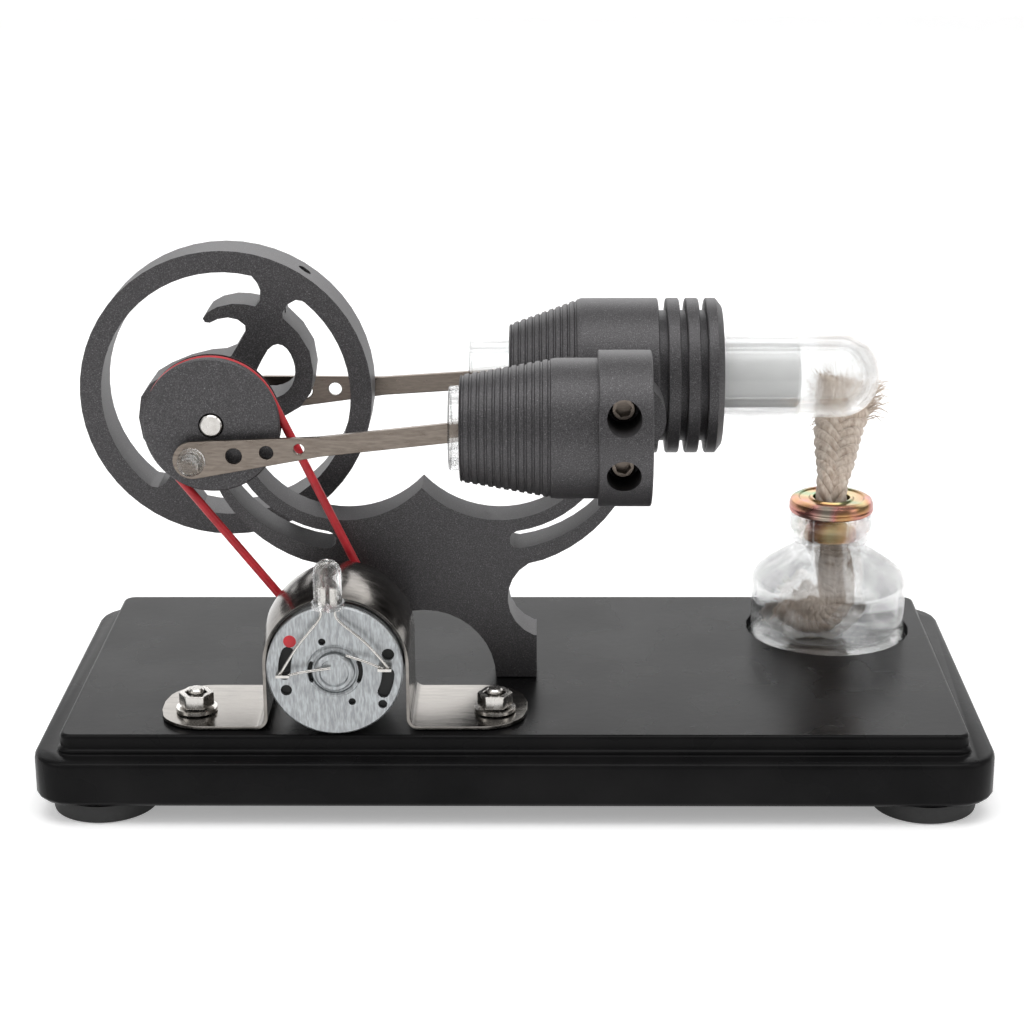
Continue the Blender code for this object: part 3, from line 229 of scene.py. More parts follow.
def tidy_mesh(name):
    """A copy of a CAD node's mesh, with its flat faces joined up again."""
    made = bmesh.new()
    made.from_mesh(NODES[name].data)
    bmesh.ops.remove_doubles(made, verts=made.verts, dist=2e-6)
    bmesh.ops.dissolve_limit(made, angle_limit=math.radians(0.4), verts=made.verts[:],
                             edges=made.edges[:])
    return made


def eased(name, width, segments=2, over=SMOOTH_ANGLE):
    """A copy of a CAD node with the edges sharper than an angle broken."""
    item = settle(tidy_mesh(name), name + "_eased")
    bevel = item.modifiers.new("broken_edges", "BEVEL")
    bevel.width = width
    bevel.segments = segments
    bevel.limit_method = "ANGLE"
    bevel.angle_limit = math.radians(over)
    stands_for(item, name)


def lathe(name, profile, axis, at, steps=96, closed=False):
    """Spins (radius, along) points about an axis; a closed section has a bore."""
    made = bmesh.new()
    rings = []
    for radius, along in profile:
        ring = []
        for k in range(steps if radius > 1e-7 else 1):
            a = 2 * math.pi * k / steps
            u, v = radius * math.cos(a), radius * math.sin(a)
            spot = {"x": (along, u, v), "y": (u, along, v), "z": (u, v, along)}[axis]
            ring.append(made.verts.new(Vector(spot) + Vector(at)))
        rings.append(ring)
    pairs = list(zip(rings, rings[1:] + rings[:1])) if closed else list(zip(rings, rings[1:]))
    for a, b in pairs:
        for k in range(steps):
            j = (k + 1) % steps
            corners = [a[k % len(a)], a[j % len(a)], b[j % len(b)], b[k % len(b)]]
            unique = list(dict.fromkeys(corners))
            if len(unique) > 2:
                made.faces.new(unique)
    bmesh.ops.recalc_face_normals(made, faces=made.faces)
    return settle(made, name)


def cutter(name, made):
    """A closed shape to cut another piece with."""
    bmesh.ops.recalc_face_normals(made, faces=made.faces)
    return settle(made, name)


def block(low, high):
    """A box between two corners."""
    made = bmesh.new()
    bmesh.ops.create_cube(made, size=1)
    for vert in made.verts:
        vert.co = Vector([(a + b) / 2 + c * (b - a) for a, b, c in zip(low, high, vert.co)])
    return made


def carve(item, tools):
    """Cuts shapes out of a piece and settles the result."""
    for tool in tools:
        step = item.modifiers.new("cut", "BOOLEAN")
        step.object, step.operation, step.solver = tool, "DIFFERENCE", "EXACT"
    view = bpy.context.evaluated_depsgraph_get()
    made = bmesh.new()
    made.from_object(item, view)
    name = item.name
    for spare in tools + [item]:
        bpy.data.objects.remove(spare)
    return settle(made, name)


def ribs(start, end, first_radius, last_radius, count, depth):
    """Grooves turned into a cone: points from one end of it to the other."""
    points = []
    pitch = (end - start) / count
    for k in range(count):
        for share, low in ((0.0, 1), (0.22, 1), (0.34, 0), (0.88, 0)):
            along = start + (k + share) * pitch
            cone = first_radius + (last_radius - first_radius) * (along - start) / (end - start)
            points.append((cone - depth * low, along))
    return points


def arc2(centre, radius, start, end, count):
    """Points on an arc in a plane, between two angles in degrees."""
    turns = [math.radians(start + (end - start) * k / (count - 1)) for k in range(count)]
    return [(centre[0] + radius * math.cos(a), centre[1] + radius * math.sin(a)) for a in turns]


def smooth_profile(points, each=6):
    """Catmull-Rom through (radius, along) points."""
    full = [points[0]] + points + [points[-1]]
    found = []
    for a, b, c, d in zip(full, full[1:], full[2:], full[3:]):
        for k in range(each):
            t = k / each
            found.append(tuple(0.5 * (2 * q + (r - p) * t + (2 * p - 5 * q + 4 * r - s) * t * t
                                      + (3 * q - p - 3 * r + s) * t ** 3)
                               for p, q, r, s in zip(a, b, c, d)))
    return found + [points[-1]]


def mm(points):
    """Pairs of millimetres as metres."""
    return [(a * MM, b * MM) for a, b in points]


# ================================================================ board
def make_board():
    """The two-tier board with broken edges, and its four rubber feet."""
    eased("base_board", 0.55 * MM, 3, over=40.0)
    for side in ("front_left", "front_right", "rear_left", "rear_right"):
        low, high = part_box("foot_" + side)
        middle = ((low[0] + high[0]) / 2, (low[1] + high[1]) / 2, 0)
        radius = (high[0] - low[0]) / 2
        profile = [(0, low[2]), (radius - 0.5 * MM, low[2]),
                   (radius - 0.1 * MM, low[2] + 0.2 * MM), (radius, low[2] + 0.6 * MM),
                   (radius, high[2]), (0, high[2])]
        stands_for(lathe(f"foot_{side}_pad", profile, "z", middle), "foot_" + side)


# ================================================================ front cylinder
def make_power_cylinder():
    """The front housing with its ribs and screw pockets, its glass and its two screws."""
    at = (0, POWER_Y, AXIS_Z)
    cone = ribs(-9.1 * MM, 7.6 * MM, 9.6 * MM, 12.55 * MM, 12, 0.26 * MM)
    profile = mm([(8.9, -9.5), (9.3, -9.5), (9.6, -9.3)]) + cone + mm(
        [(12.55, 7.7), (12.55, 15.0), (13.75, 15.0), (13.95, 15.2), (13.95, 24.3), (13.75, 24.5),
         (0.0, 24.5), (0.0, 14.3), (8.9, 14.3)])
    made = lathe("power_cylinder_housing_turned", profile, "x", at, 128, True)
    tools = [cutter("flat", block((14.8 * MM, -9.1 * MM, 40 * MM), (30 * MM, 5 * MM, 90 * MM)))]
    hole = mm([(0.0, -32.0), (3.05, -32.0), (3.05, -18.2), (1.55, -18.2), (1.55, 0.0), (0.0, 0.0)])
    for side in (-1, 1):
        place = (CLAMP_SCREW_X, 0, AXIS_Z + side * CLAMP_SCREW_OFFSET)
        tools.append(lathe("pocket", hole, "y", place, 48))
    stands_for(carve(made, tools), "power_cylinder_housing")
    stands_for(lathe("power_cylinder_tube", mm([(7.6, -11.2), (7.3, -11.5), (6.6, -11.5),
                                                (6.3, -11.2), (6.3, 14.0), (7.6, 14.0)]),
                     "x", at, 96, True), "power_cylinder_glass")
    for label, side in (("upper", 1), ("lower", -1)):
        place = (CLAMP_SCREW_X, 0, AXIS_Z + side * CLAMP_SCREW_OFFSET)
        socket_screw(f"clamp_screw_{label}", place, side * 13)


def hexagon(radius, low, high, turn):
    """A six-sided cutter along Y."""
    made = bmesh.new()
    corners = [(radius * math.cos(math.radians(60 * k + turn)),
                radius * math.sin(math.radians(60 * k + turn))) for k in range(6)]
    near = [made.verts.new((x, low, z)) for x, z in corners]
    far = [made.verts.new((x, high, z)) for x, z in corners]
    made.faces.new(near)
    made.faces.new(far)
    for k in range(6):
        made.faces.new((near[k], near[(k + 1) % 6], far[(k + 1) % 6], far[k]))
    return made


def socket_screw(name, at, turn):
    """A cap screw that lies along Y, with its socket turned by some degrees."""
    profile = mm([(0.0, -21.0), (1.9, -21.0), (2.25, -20.7), (2.25, -18.5), (1.2, -18.5),
                  (1.2, 5.0), (0.0, 5.0)])
    made = lathe(name + "_turned", profile, "y", at, 48)
    tool = cutter("socket", hexagon(1.5 * MM, -22 * MM, -19.0 * MM, turn))
    tool.location = at
    bpy.context.view_layer.update()
    stands_for(carve(made, [tool]), name, material=NICKEL)


# ================================================================ rear cylinder
def make_displacer_cylinder():
    """The finned heat sink, both of its glass tubes and the displacer."""
    at = (0, DISPLACER_Y, AXIS_Z)
    cone = ribs(-0.7 * MM, 12.6 * MM, 10.1 * MM, 14.9 * MM, 10, 0.3 * MM)
    section = mm([(7.8, -1.2), (9.6, -1.2), (10.0, -0.9)]) + cone + mm(
        [(14.9, 12.7), (14.9, 27.0), (14.7, 27.2), (12.55, 27.2)])
    for start, end in ((28.8, 31.2), (32.5, 34.9), (36.3, 38.4)):
        section += mm([(12.55, start), (14.7, start), (14.9, start + 0.2), (14.9, end - 0.2),
                       (14.7, end)])
        if end < 38:
            section += mm([(12.55, end)])
    section += mm([(13.4, 39.4), (9.4, 39.4), (9.4, 23.6), (7.8, 23.6)])
    stands_for(lathe("heat_sink_turned", section, "x", at, 144, True), "heat_sink")
    stands_for(lathe("guide_tube", mm([(7.5, -8.6), (7.2, -8.9), (6.6, -8.9), (6.3, -8.6),
                                       (6.3, 14.0), (7.5, 14.0)]), "x", at, 96, True),
               "guide_tube_glass")
    outer = [(8.15 * math.cos(a), 62.3 + 7.8 * math.sin(a))
             for a in (math.radians(90 * k / 18) for k in range(18))]
    inner = [(6.95 * math.cos(a), 62.3 + 6.6 * math.sin(a))
             for a in (math.radians(90 * k / 18) for k in range(17, -1, -1))]
    profile = [(0.0, 68.9)] + inner + [(6.95, 24.2), (7.25, 24.0), (7.85, 24.0), (8.15, 24.2)]
    profile += outer + [(0.0, 70.1)]
    stands_for(lathe("hot_tube", mm(profile), "x", at, 112), "hot_tube_glass")
    profile = [(0.0, 28.0), (5.6, 28.0), (6.2, 28.6), (6.2, 53.9), (5.6, 54.5), (0.0, 54.5)]
    stands_for(lathe("displacer_turned", mm(profile), "x", at, 96), "displacer")


# ================================================================ burner
def make_burner():
    """The glass bottle, its turned cap and the wick."""
    at = (BURNER_X, BURNER_Y, 0)
    low, top = BOARD_TOP / MM - 1.7, BOARD_TOP / MM
    outer = [(0.0, low + 0.5), (9.0, low + 0.5), (11.0, low)]
    outer += arc2((13.6, low + 1.4), 1.4, -90, 0, 6)
    outer += [(15.0, top + 5.0), (15.0, top + 9.2)]
    outer += smooth_profile([(14.95, top + 10.2), (14.4, top + 11.4), (12.9, top + 12.8),
                             (9.9, top + 14.9), (7.7, top + 16.4), (6.9, top + 17.3),
                             (6.8, top + 18.0)], 5)
    outer += [(7.3, top + 18.3), (7.45, top + 18.7), (7.3, top + 19.1), (6.9, top + 19.4),
              (6.9, top + 19.7), (7.4, top + 20.1), (7.8, top + 20.6), (7.95, top + 21.3),
              (7.95, top + 22.9), (7.7, top + 23.5), (7.1, top + 23.9), (5.7, top + 23.9)]
    inner = smooth_profile([(5.4, top + 23.5), (5.4, top + 19.0), (5.6, top + 16.2),
                            (7.6, top + 14.5), (11.2, top + 12.0), (13.2, top + 10.2),
                            (13.7, top + 8.4), (13.7, low + 3.4), (12.9, low + 2.0),
                            (10.6, low + 1.5), (5.0, low + 1.9)], 4)
    stands_for(lathe("bottle", mm(outer + inner + [(0.0, low + 2.1)]), "z", at, 128),
               "burner_bottle", material=BOTTLE_GLASS)
    seat = top + 24.2
    cap = [(3.5, seat - 5.8), (4.7, seat - 5.8), (5.0, seat - 5.5), (5.0, seat), (7.9, seat),
           (8.1, seat + 0.25), (8.1, seat + 0.7), (7.95, seat + 0.9), (8.1, seat + 1.1),
           (8.1, seat + 1.6), (7.8, seat + 2.3), (7.1, seat + 2.7), (6.4, seat + 2.75),
           (6.1, seat + 2.5), (4.4, seat + 2.45), (4.1, seat + 2.75), (3.6, seat + 2.7),
           (3.5, seat + 2.5)]
    stands_for(lathe("cap_turned", mm(cap), "z", at, 112, True), "burner_cap",
               material=CAP_PLATE)
    make_wick(at)


def spline_points(route, count):
    """Evenly stepped points on a smooth curve through a route."""
    full = [route[0]] + route + [route[-1]]
    found = []
    for k in range(count):
        t = k / (count - 1) * (len(route) - 1)
        i = min(int(t), len(route) - 2)
        t -= i
        p, q, r, s = full[i:i + 4]
        found.append(0.5 * (2 * q + (r - p) * t + (2 * p - 5 * q + 4 * r - s) * t * t
                            + (3 * q - p - 3 * r + s) * t ** 3))
    return found


def strand_curve(name, lines, radius, resolution, taper=None):
    """Round strands along lines of points; taper scales the radius from 0 to 1 along each."""
    curve = bpy.data.curves.new(name, "CURVE")
    curve.dimensions = "3D"
    curve.bevel_depth = radius
    curve.bevel_resolution = resolution
    curve.use_fill_caps = True
    for line in lines:
        spline = curve.splines.new("POLY")
        spline.points.add(len(line) - 1)
        for k, (target, point) in enumerate(zip(spline.points, line)):
            target.co = (*point, 1)
            target.radius = taper(k / (len(line) - 1)) if taper else 1.0
    item = bpy.data.objects.new(name, curve)
    bpy.context.scene.collection.objects.link(item)
    return item


# The wick's route above the board's top, from its curled lower end, in millimetres.
WICK_ROUTE = [(-7.0, -2.2, 6.6), (-4.6, -2.2, 4.2), (-1.4, -1.6, 3.7), (0.9, -0.8, 5.9),
              (1.5, -0.3, 9.0), (0.9, 0.0, 13.5), (0.2, 0.0, 19.0), (0.0, 0.0, 28.2),
              (0.9, 3.4, 32.5), (1.9, 9.0, 36.5), (3.4, 14.2, 40.5), (4.4, 16.4, 45.0)]
WICK_POINTS = 260
WICK_STRANDS, WICK_TURNS = 7, 4.5
STRAND_RADIUS, FIBRE_RADIUS = 1.08 * MM, 0.15 * MM
BRAID_HALF_WIDTH, BRAID_HALF_DEPTH = 2.55 * MM, 0.75 * MM


def wick_spread(t):
    """How far the braid is pinched by the cap, and how it opens towards its ends."""
    pinched = 0.24 * math.exp(-((t - 0.62) / 0.12) ** 2)
    low = 0.38 * max(0.0, 0.34 - t) / 0.34
    return 1.08 - pinched + low + 0.85 * max(0.0, t - 0.68) / 0.32


def wick_frames(at):
    """Points along the wick, each with its directions ahead, across and out."""
    route = [Vector((at[0] + x * MM, at[1] + y * MM, BOARD_TOP + z * MM))
             for x, y, z in WICK_ROUTE]
    line = spline_points(route, WICK_POINTS)
    frames = []
    for k, point in enumerate(line):
        ahead = (line[min(k + 1, WICK_POINTS - 1)] - line[max(k - 1, 0)]).normalized()
        across = ahead.cross(Vector((0, 1, 0)))
        across = across.normalized() if across.length > 1e-3 else Vector((1, 0, 0))
        frames.append((point, ahead, across, ahead.cross(across).normalized()))
    return frames


def frayed_end(end, way, amount, wide, back, longest):
    """Loose fibres at one end of the wick; way is 1 at its top and -1 in the bottle."""
    point, ahead, across, out = end
    fibres = []
    for _ in range(amount):
        share = random.uniform(-1, 1)
        start = (point - ahead * way * random.uniform(0, back) * MM
                 + across * wide * MM * share + out * random.uniform(-1.5, 1.5) * MM)
        lean = (ahead * way * random.uniform(0.5, 1.0) + across * 0.7 * share
                + across * random.uniform(-0.35, 0.35) + out * random.uniform(-0.25, 0.25))
        reach = random.uniform(1.6, longest) * MM
        droop = Vector((0, 0, -random.uniform(0.0, 0.55) * reach))
        if way > 0:
            lean.y = max(lean.y, 0.02)                      # away from the hot tube
        elif (start + lean * reach).z < BOARD_TOP + 0.8 * MM:
            lean.z, droop.z = 0.1, 0                        # up off the bottle's floor
        fibres.append([start, start + lean * reach * 0.5 + across * share * 0.1 * reach,
                       start + lean * reach + droop])
    return fibres


def stray_fibres(frames, amount):
    """Fibres that hang out to the left, just under the hot tube."""
    fibres = []
    for _ in range(amount):
        point = frames[int(random.uniform(0.86, 0.98) * len(frames))][0]
        start = point + Vector((-random.uniform(1.6, 3.4), -random.uniform(1.0, 3.2), 0)) * MM
        reach = random.uniform(1.8, 4.8) * MM
        lift = random.uniform(-0.9, 0.1)
        side = random.uniform(-0.3, 0.2)
        fibres.append([start, start + Vector((-0.5, side * 0.5, lift * 0.3)) * reach,
                       start + Vector((-0.8, side, lift)) * reach])
    return fibres


def make_wick(at):
    """A flat braid of cotton strands, with loose fibres at both of its ends."""
    frames = wick_frames(at)
    last = WICK_POINTS - 1
    strands = []
    for s in range(WICK_STRANDS):
        phase = 2 * math.pi * s / WICK_STRANDS
        path = []
        for k, (point, _, across, out) in enumerate(frames):
            t = k / last * 2 * math.pi * WICK_TURNS + phase
            spread = wick_spread(k / last)
            path.append(point + across * (BRAID_HALF_WIDTH * spread * math.sin(t))
                        + out * (BRAID_HALF_DEPTH * spread * math.sin(2 * t + 0.4)))
        strands.append(path)
    braid = strand_curve("wick_braid", strands, STRAND_RADIUS, 3,
                         lambda t: 0.85 + 0.35 * (wick_spread(t) - 0.8))
    stands_for(braid, "burner_wick")
    fibres = frayed_end(frames[-1], 1, 700, 4.6, 6.5, 5.6)
    fibres += frayed_end(frames[0], -1, 420, 3.4, 3.0, 2.2)
    fibres += stray_fibres(frames, 70)
    fuzz = strand_curve("wick_fibres", fibres, FIBRE_RADIUS, 1, lambda t: 1 - 0.7 * t)
    detail(fuzz, "burner_wick", COTTON)


# ================================================================ crank, belt, rods
DISC_FLAT_ANGLE = math.radians(211)


def make_crank():
    """The disc with its belt groove, the shaft, and the frame's castings."""
    at = (SHAFT_X, 0, AXIS_Z)
    profile = mm([(2.3, -12.8), (12.1, -12.8), (12.35, -12.55), (12.35, -11.7), (10.5, -11.6),
                  (10.5, -9.5), (12.35, -9.4), (12.35, -9.2), (12.2, -9.1), (2.3, -9.1)])
    disc = lathe("crank_disc_turned", profile, "y", at, 144, True)
    tool = block((11.45 * MM, -20 * MM, -10 * MM), (17 * MM, 0, 10 * MM))
    for vert in tool.verts:
        vert.co = Matrix.Rotation(-DISC_FLAT_ANGLE, 3, "Y") @ vert.co + Vector(at)
    stands_for(carve(disc, [cutter("flat", tool)]), "crank_disc")
    shaft = mm([(0.0, -13.2), (1.75, -13.2), (2.0, -12.95), (2.0, 19.15), (1.75, 19.4),
                (0.0, 19.4)])
    stands_for(lathe("shaft_turned", shaft, "y", at, 48), "crank_shaft")
    eased("flywheel", 0.4 * MM, 3)
    eased("support_frame", 0.35 * MM, 2)
    eased("transfer_block", 0.3 * MM, 2)


ROUND_NODES = {"x": ("power_piston", "guide_piston", "displacer_stem", "power_glass_oring",
                     "hot_tube_sleeve"),
               "y": ("bearing_front", "bearing_rear", "motor_magnet_ring", "motor_shaft",
                     "motor_rotor", "motor_pulley", "power_crank_pin", "displacer_crank_pin",
                     "power_wrist_pin", "displacer_wrist_pin"),
               "z": ("strap_washer_left", "strap_washer_right", "frame_screw_left",
                     "frame_screw_right", "strap_bolt_left", "strap_bolt_right")}
SAME_LENGTH = 0.01 * MM


def round_again(name, axis, cuts=3):
    """A CAD turning with more sides: chords become arcs of the same circle."""
    low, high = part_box(name)
    middle = Vector([(a + b) / 2 for a, b in zip(low, high)])
    first, second = {"x": (1, 2), "y": (0, 2), "z": (0, 1)}[axis]
    along = {"x": 0, "y": 1, "z": 2}[axis]
    made = tidy_mesh(name)

    def polar(vert):
        u, v = vert.co[first] - middle[first], vert.co[second] - middle[second]
        return math.hypot(u, v), math.atan2(v, u)

    far = max(polar(vert)[0] for vert in made.verts)
    rim = {round(math.degrees(turn) % 360, 1)
           for radius, turn in map(polar, made.verts) if radius > 0.998 * far}
    if 0.0 in rim:
        rim.discard(360.0)
    step, phase = 2 * math.pi / len(rim), math.radians(min(rim))
    chords = []
    for edge in made.edges:
        a, b = edge.verts
        (near, start), (other, end) = polar(a), polar(b)
        gap = (start - end) % (2 * math.pi)
        gap = min(gap, 2 * math.pi - gap)
        level = abs(a.co[along] - b.co[along]) < SAME_LENGTH
        if level and abs(near - other) < SAME_LENGTH and abs(gap - step) < 0.05 * step:
            chords.append(edge)
    bmesh.ops.subdivide_edges(made, edges=chords, cuts=cuts, use_grid_fill=True)
    for vert in made.verts:
        radius, turn = polar(vert)
        if radius < 1e-6:
            continue
        off = (turn - phase) % step - step / 2
        grown = radius * math.cos(off) / math.cos(step / 2)
        vert.co[first] = middle[first] + grown * math.cos(turn)
        vert.co[second] = middle[second] + grown * math.sin(turn)
    stands_for(settle(made, name + "_round"), name)


def make_rods():
    """Both flat rods, each with the clear cap that covers its crank pin."""
    for name in ("power_rod", "displacer_rod"):
        eased(name, 0.16 * MM, 2)
    for name, reach in (("power_rod_pin_cap", -1), ("displacer_rod_pin_cap", 1)):
        low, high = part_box(name)
        x, z = (low[0] + high[0]) / 2, (low[2] + high[2]) / 2
        y = POWER_Y if reach < 0 else DISPLACER_Y
        steps = [(0, 0.4), (0.8, 0.4), (0.8, 0.8), (2.3, 0.8), (2.5, 1.0), (2.5, 1.8), (2.2, 2.2),
                 (2.15, 3.3), (1.9, 3.6), (1.6, 3.8), (1.5, 5.1), (1.3, 5.5), (0.8, 5.85),
                 (0, 5.9)]
        profile = [(r * MM, reach * along * MM) for r, along in steps]
        stands_for(lathe(name + "_turned", profile, "y", (x, y, z), 48), name)


def make_belt():
    """The belt as a round cord round the disc and the pulley."""
    disc, pulley = Vector((SHAFT_X, AXIS_Z)), Vector((MOTOR_X, MOTOR_Z))
    way = pulley - disc
    heading = math.atan2(way.y, way.x)
    lean = math.acos((BELT_ON_DISC - BELT_ON_PULLEY) / way.length)
    flat = [(disc.x + BELT_ON_DISC * math.cos(a), disc.y + BELT_ON_DISC * math.sin(a))
            for a in (heading + lean + (2 * math.pi - 2 * lean) * k / 59 for k in range(60))]
    flat += [(pulley.x + BELT_ON_PULLEY * math.cos(a), pulley.y + BELT_ON_PULLEY * math.sin(a))
             for a in (heading - lean + 2 * lean * k / 31 for k in range(32))]
    item = strand_curve("belt_cord", [[Vector((x, BELT_Y, z)) for x, z in flat]], BELT_RADIUS, 4)
    item.data.splines[0].use_cyclic_u = True
    item.data.use_fill_caps = False
    stands_for(item, "drive_belt")


# ================================================================ generator
# Slots in the cap as start and end angle, radius and half width; holes as angle, radius and size.
CAP_SLOTS = [(158, 203, 4.35, 0.35), (-23, 23, 4.6, 0.38), (157, 184, 8.8, 1.1),
             (-25, -3, 9.4, 1.1)]
CAP_HOLES = [(203, 9.3, 1.0), (111, 5.8, 0.65), (18, 9.9, 1.1), (-37, 10.4, 0.8),
             (-63, 6.5, 0.65)]
CUTTER_FRONT, SLOT_FLOOR = -40.0, -35.35          # how deep the cap is cut, in millimetres along Y


def curved_slot(start, end, radius, half):
    """A banana-shaped cutter in the cap's face, between two angles in degrees."""
    made = bmesh.new()
    tip = (radius * math.cos(math.radians(end)), radius * math.sin(math.radians(end)))
    tail = (radius * math.cos(math.radians(start)), radius * math.sin(math.radians(start)))
    loop = arc2((0, 0), radius + half, start, end, 14)
    loop += arc2(tip, half, end, end + 180, 7)[1:-1]
    loop += arc2((0, 0), radius - half, end, start, 14)
    loop += arc2(tail, half, start + 180, start + 360, 7)[1:-1]
    near, far = [[made.verts.new((MOTOR_X + x * MM, y * MM, MOTOR_Z + z * MM)) for x, z in loop]
                 for y in (CUTTER_FRONT, SLOT_FLOOR)]
    made.faces.new(near)
    made.faces.new(far)
    for k in range(len(loop)):
        j = (k + 1) % len(loop)
        made.faces.new((near[k], near[j], far[j], far[k]))
    return made


def make_motor():
    """The generator's can and its punched end cap."""
    at = (MOTOR_X, 0, MOTOR_Z)
    cap = mm([(0.0, -35.0), (12.0, -35.0), (12.0, -35.7), (11.7, -36.0), (4.9, -36.0),
              (4.7, -36.35), (4.4, -36.45), (4.05, -36.35), (3.9, -36.0), (3.6, -36.0),
              (3.45, -36.9), (3.1, -37.2), (2.6, -37.15), (2.4, -36.7), (0.0, -36.7)])
    plate = lathe("motor_cap_turned", cap, "y", at, 128)
    tools = [cutter("slot", curved_slot(*slot)) for slot in CAP_SLOTS]
    for angle, radius, size in CAP_HOLES:
        x = MOTOR_X + radius * math.cos(math.radians(angle)) * MM
        z = MOTOR_Z + radius * math.sin(math.radians(angle)) * MM
        hole = mm([(0, CUTTER_FRONT), (size, CUTTER_FRONT), (size, SLOT_FLOOR), (0, SLOT_FLOOR)])
        tools.append(lathe("hole", hole, "y", (x, 0, z), 32))
    stands_for(carve(plate, tools), "motor_end_cap")
    # A near-black disc just behind the cap's slots and holes: painted shade for the motor's
    # shadowed inside.
    behind = lathe("motor_cap_painted_shade", mm([(0.0, -35.34), (11.2, -35.34), (11.2, -35.36),
                                          (0.0, -35.36)]), "y", at, 64)
    detail(behind, "motor_end_cap", PAINTED_SHADE)
    spot = lathe("motor_polarity_dot", mm([(0.0, -35.95), (1.15, -35.95), (1.1, -36.06),
                                           (0.0, -36.08)]), "y",
                 (MOTOR_X - 7.7 * MM, 0, MOTOR_Z + 5.5 * MM), 40)
    detail(spot, "motor_end_cap", RED)
    can = mm([(11.3, -34.7), (12.0, -34.7), (12.0, -17.0), (11.8, -16.3), (11.2, -15.6),
              (1.5, -15.6), (1.5, -16.3), (11.3, -16.3)])
    stands_for(lathe("motor_can_turned", can, "y", at, 128, True), "motor_can")


# Where the ends of the two legs lie on the cap, in millimetres from its middle.
LED_TAILS = {"left": (-0.6, 1.0), "right": (2.2, 3.4)}
LENS_RADIUS, FLANGE_RADIUS, FLANGE_HEIGHT = 2.5 * MM, 2.9 * MM, 1.0 * MM


def make_led():
    """The clear LED with the two posts inside it and its bent legs."""
    low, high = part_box("led_lens")
    x, y = (low[0] + high[0]) / 2, (low[1] + high[1]) / 2
    base, top = low[2], high[2]
    dome = [(LENS_RADIUS * math.cos(a), top - LENS_RADIUS + LENS_RADIUS * math.sin(a))
            for a in (math.radians(90 * k / 12) for k in range(12))]
    profile = [(0, base), (FLANGE_RADIUS, base), (FLANGE_RADIUS, base + FLANGE_HEIGHT),
               (LENS_RADIUS, base + FLANGE_HEIGHT)]
    stands_for(lathe("led_body", profile + dome + [(0, top)], "z", (x, y, 0), 64), "led_lens")
    for side, label in ((-1, "left"), (1, "right")):
        post = block((x + side * 0.75 * MM - 0.45 * MM, y - 0.3 * MM, base + 0.4 * MM),
                     (x + side * 0.75 * MM + 0.45 * MM, y + 0.3 * MM, base + 3.6 * MM))
        detail(settle(post, "led_frame_" + label), "led_lens", STEEL)
        head = Vector((x + side * 1.27 * MM, y, base - 0.3 * MM))
        foot = Vector((MOTOR_X + side * 8.9 * MM, y - 0.5 * MM, MOTOR_Z + (1.4 + 0.6 * side) * MM))
        tail = Vector((MOTOR_X + LED_TAILS[label][0] * MM, MOTOR_FRONT - 1.3 * MM,
                       MOTOR_Z + LED_TAILS[label][1] * MM))
        bend = foot + Vector((side * 0.5 * MM, -0.1 * MM, -1.2 * MM))
        route = [head, head + Vector((side * 0.4 * MM, -0.2 * MM, -2.0 * MM)),
                 head.lerp(foot, 0.6) + Vector((0, -0.3 * MM, 0)), foot, bend,
                 bend.lerp(tail, 0.45) + Vector((0, -0.2 * MM, 0.2 * MM)), tail]
        wire = strand_curve("led_wire_" + label, [spline_points(route, 48)], 0.25 * MM, 3)
        stands_for(wire, "led_leg_" + label)


STRAP_FRONT, STRAP_BACK = -34.0 * MM, -14.4 * MM
STRAP_LEFT, STRAP_RIGHT = 32.3 * MM, 33.6 * MM    # how far the feet reach from the motor's middle
STRAP_REACH, STRAP_BEND = 12.3 * MM, 2.2 * MM     # inner radius over the motor, bends at the feet
STRAP_FOOT_Z = BOARD_TOP + 0.3 * MM
STRAP_CORNER, STRAP_CROWN, STRAP_THICKNESS = 8.0 * MM, 1.3 * MM, 0.6 * MM
STRAP_OUTWARD = -1.0


def strap_line():
    """The strap's inner side from foot to foot, as x, z and how much the band is crowned."""
    bend = STRAP_REACH + STRAP_BEND
    bend_z = STRAP_FOOT_Z + STRAP_BEND
    line = [(-STRAP_LEFT + (STRAP_LEFT - bend) * k / 24, STRAP_FOOT_Z, 0.0) for k in range(24)]
    line += [(u, v, 0.0) for u, v in arc2((-bend, bend_z), STRAP_BEND, -90, 0, 9)]
    for k, (u, v) in enumerate(arc2((0, MOTOR_Z), STRAP_REACH, 180, 0, 61)):
        line.append((u, v, min(1.0, 2.2 * math.sin(math.pi * k / 60))))
    line += [(u, v, 0.0) for u, v in arc2((bend, bend_z), STRAP_BEND, 180, 270, 9)]
    return line + [(bend + (STRAP_RIGHT - bend) * k / 24, STRAP_FOOT_Z, 0.0)
                   for k in range(1, 25)]


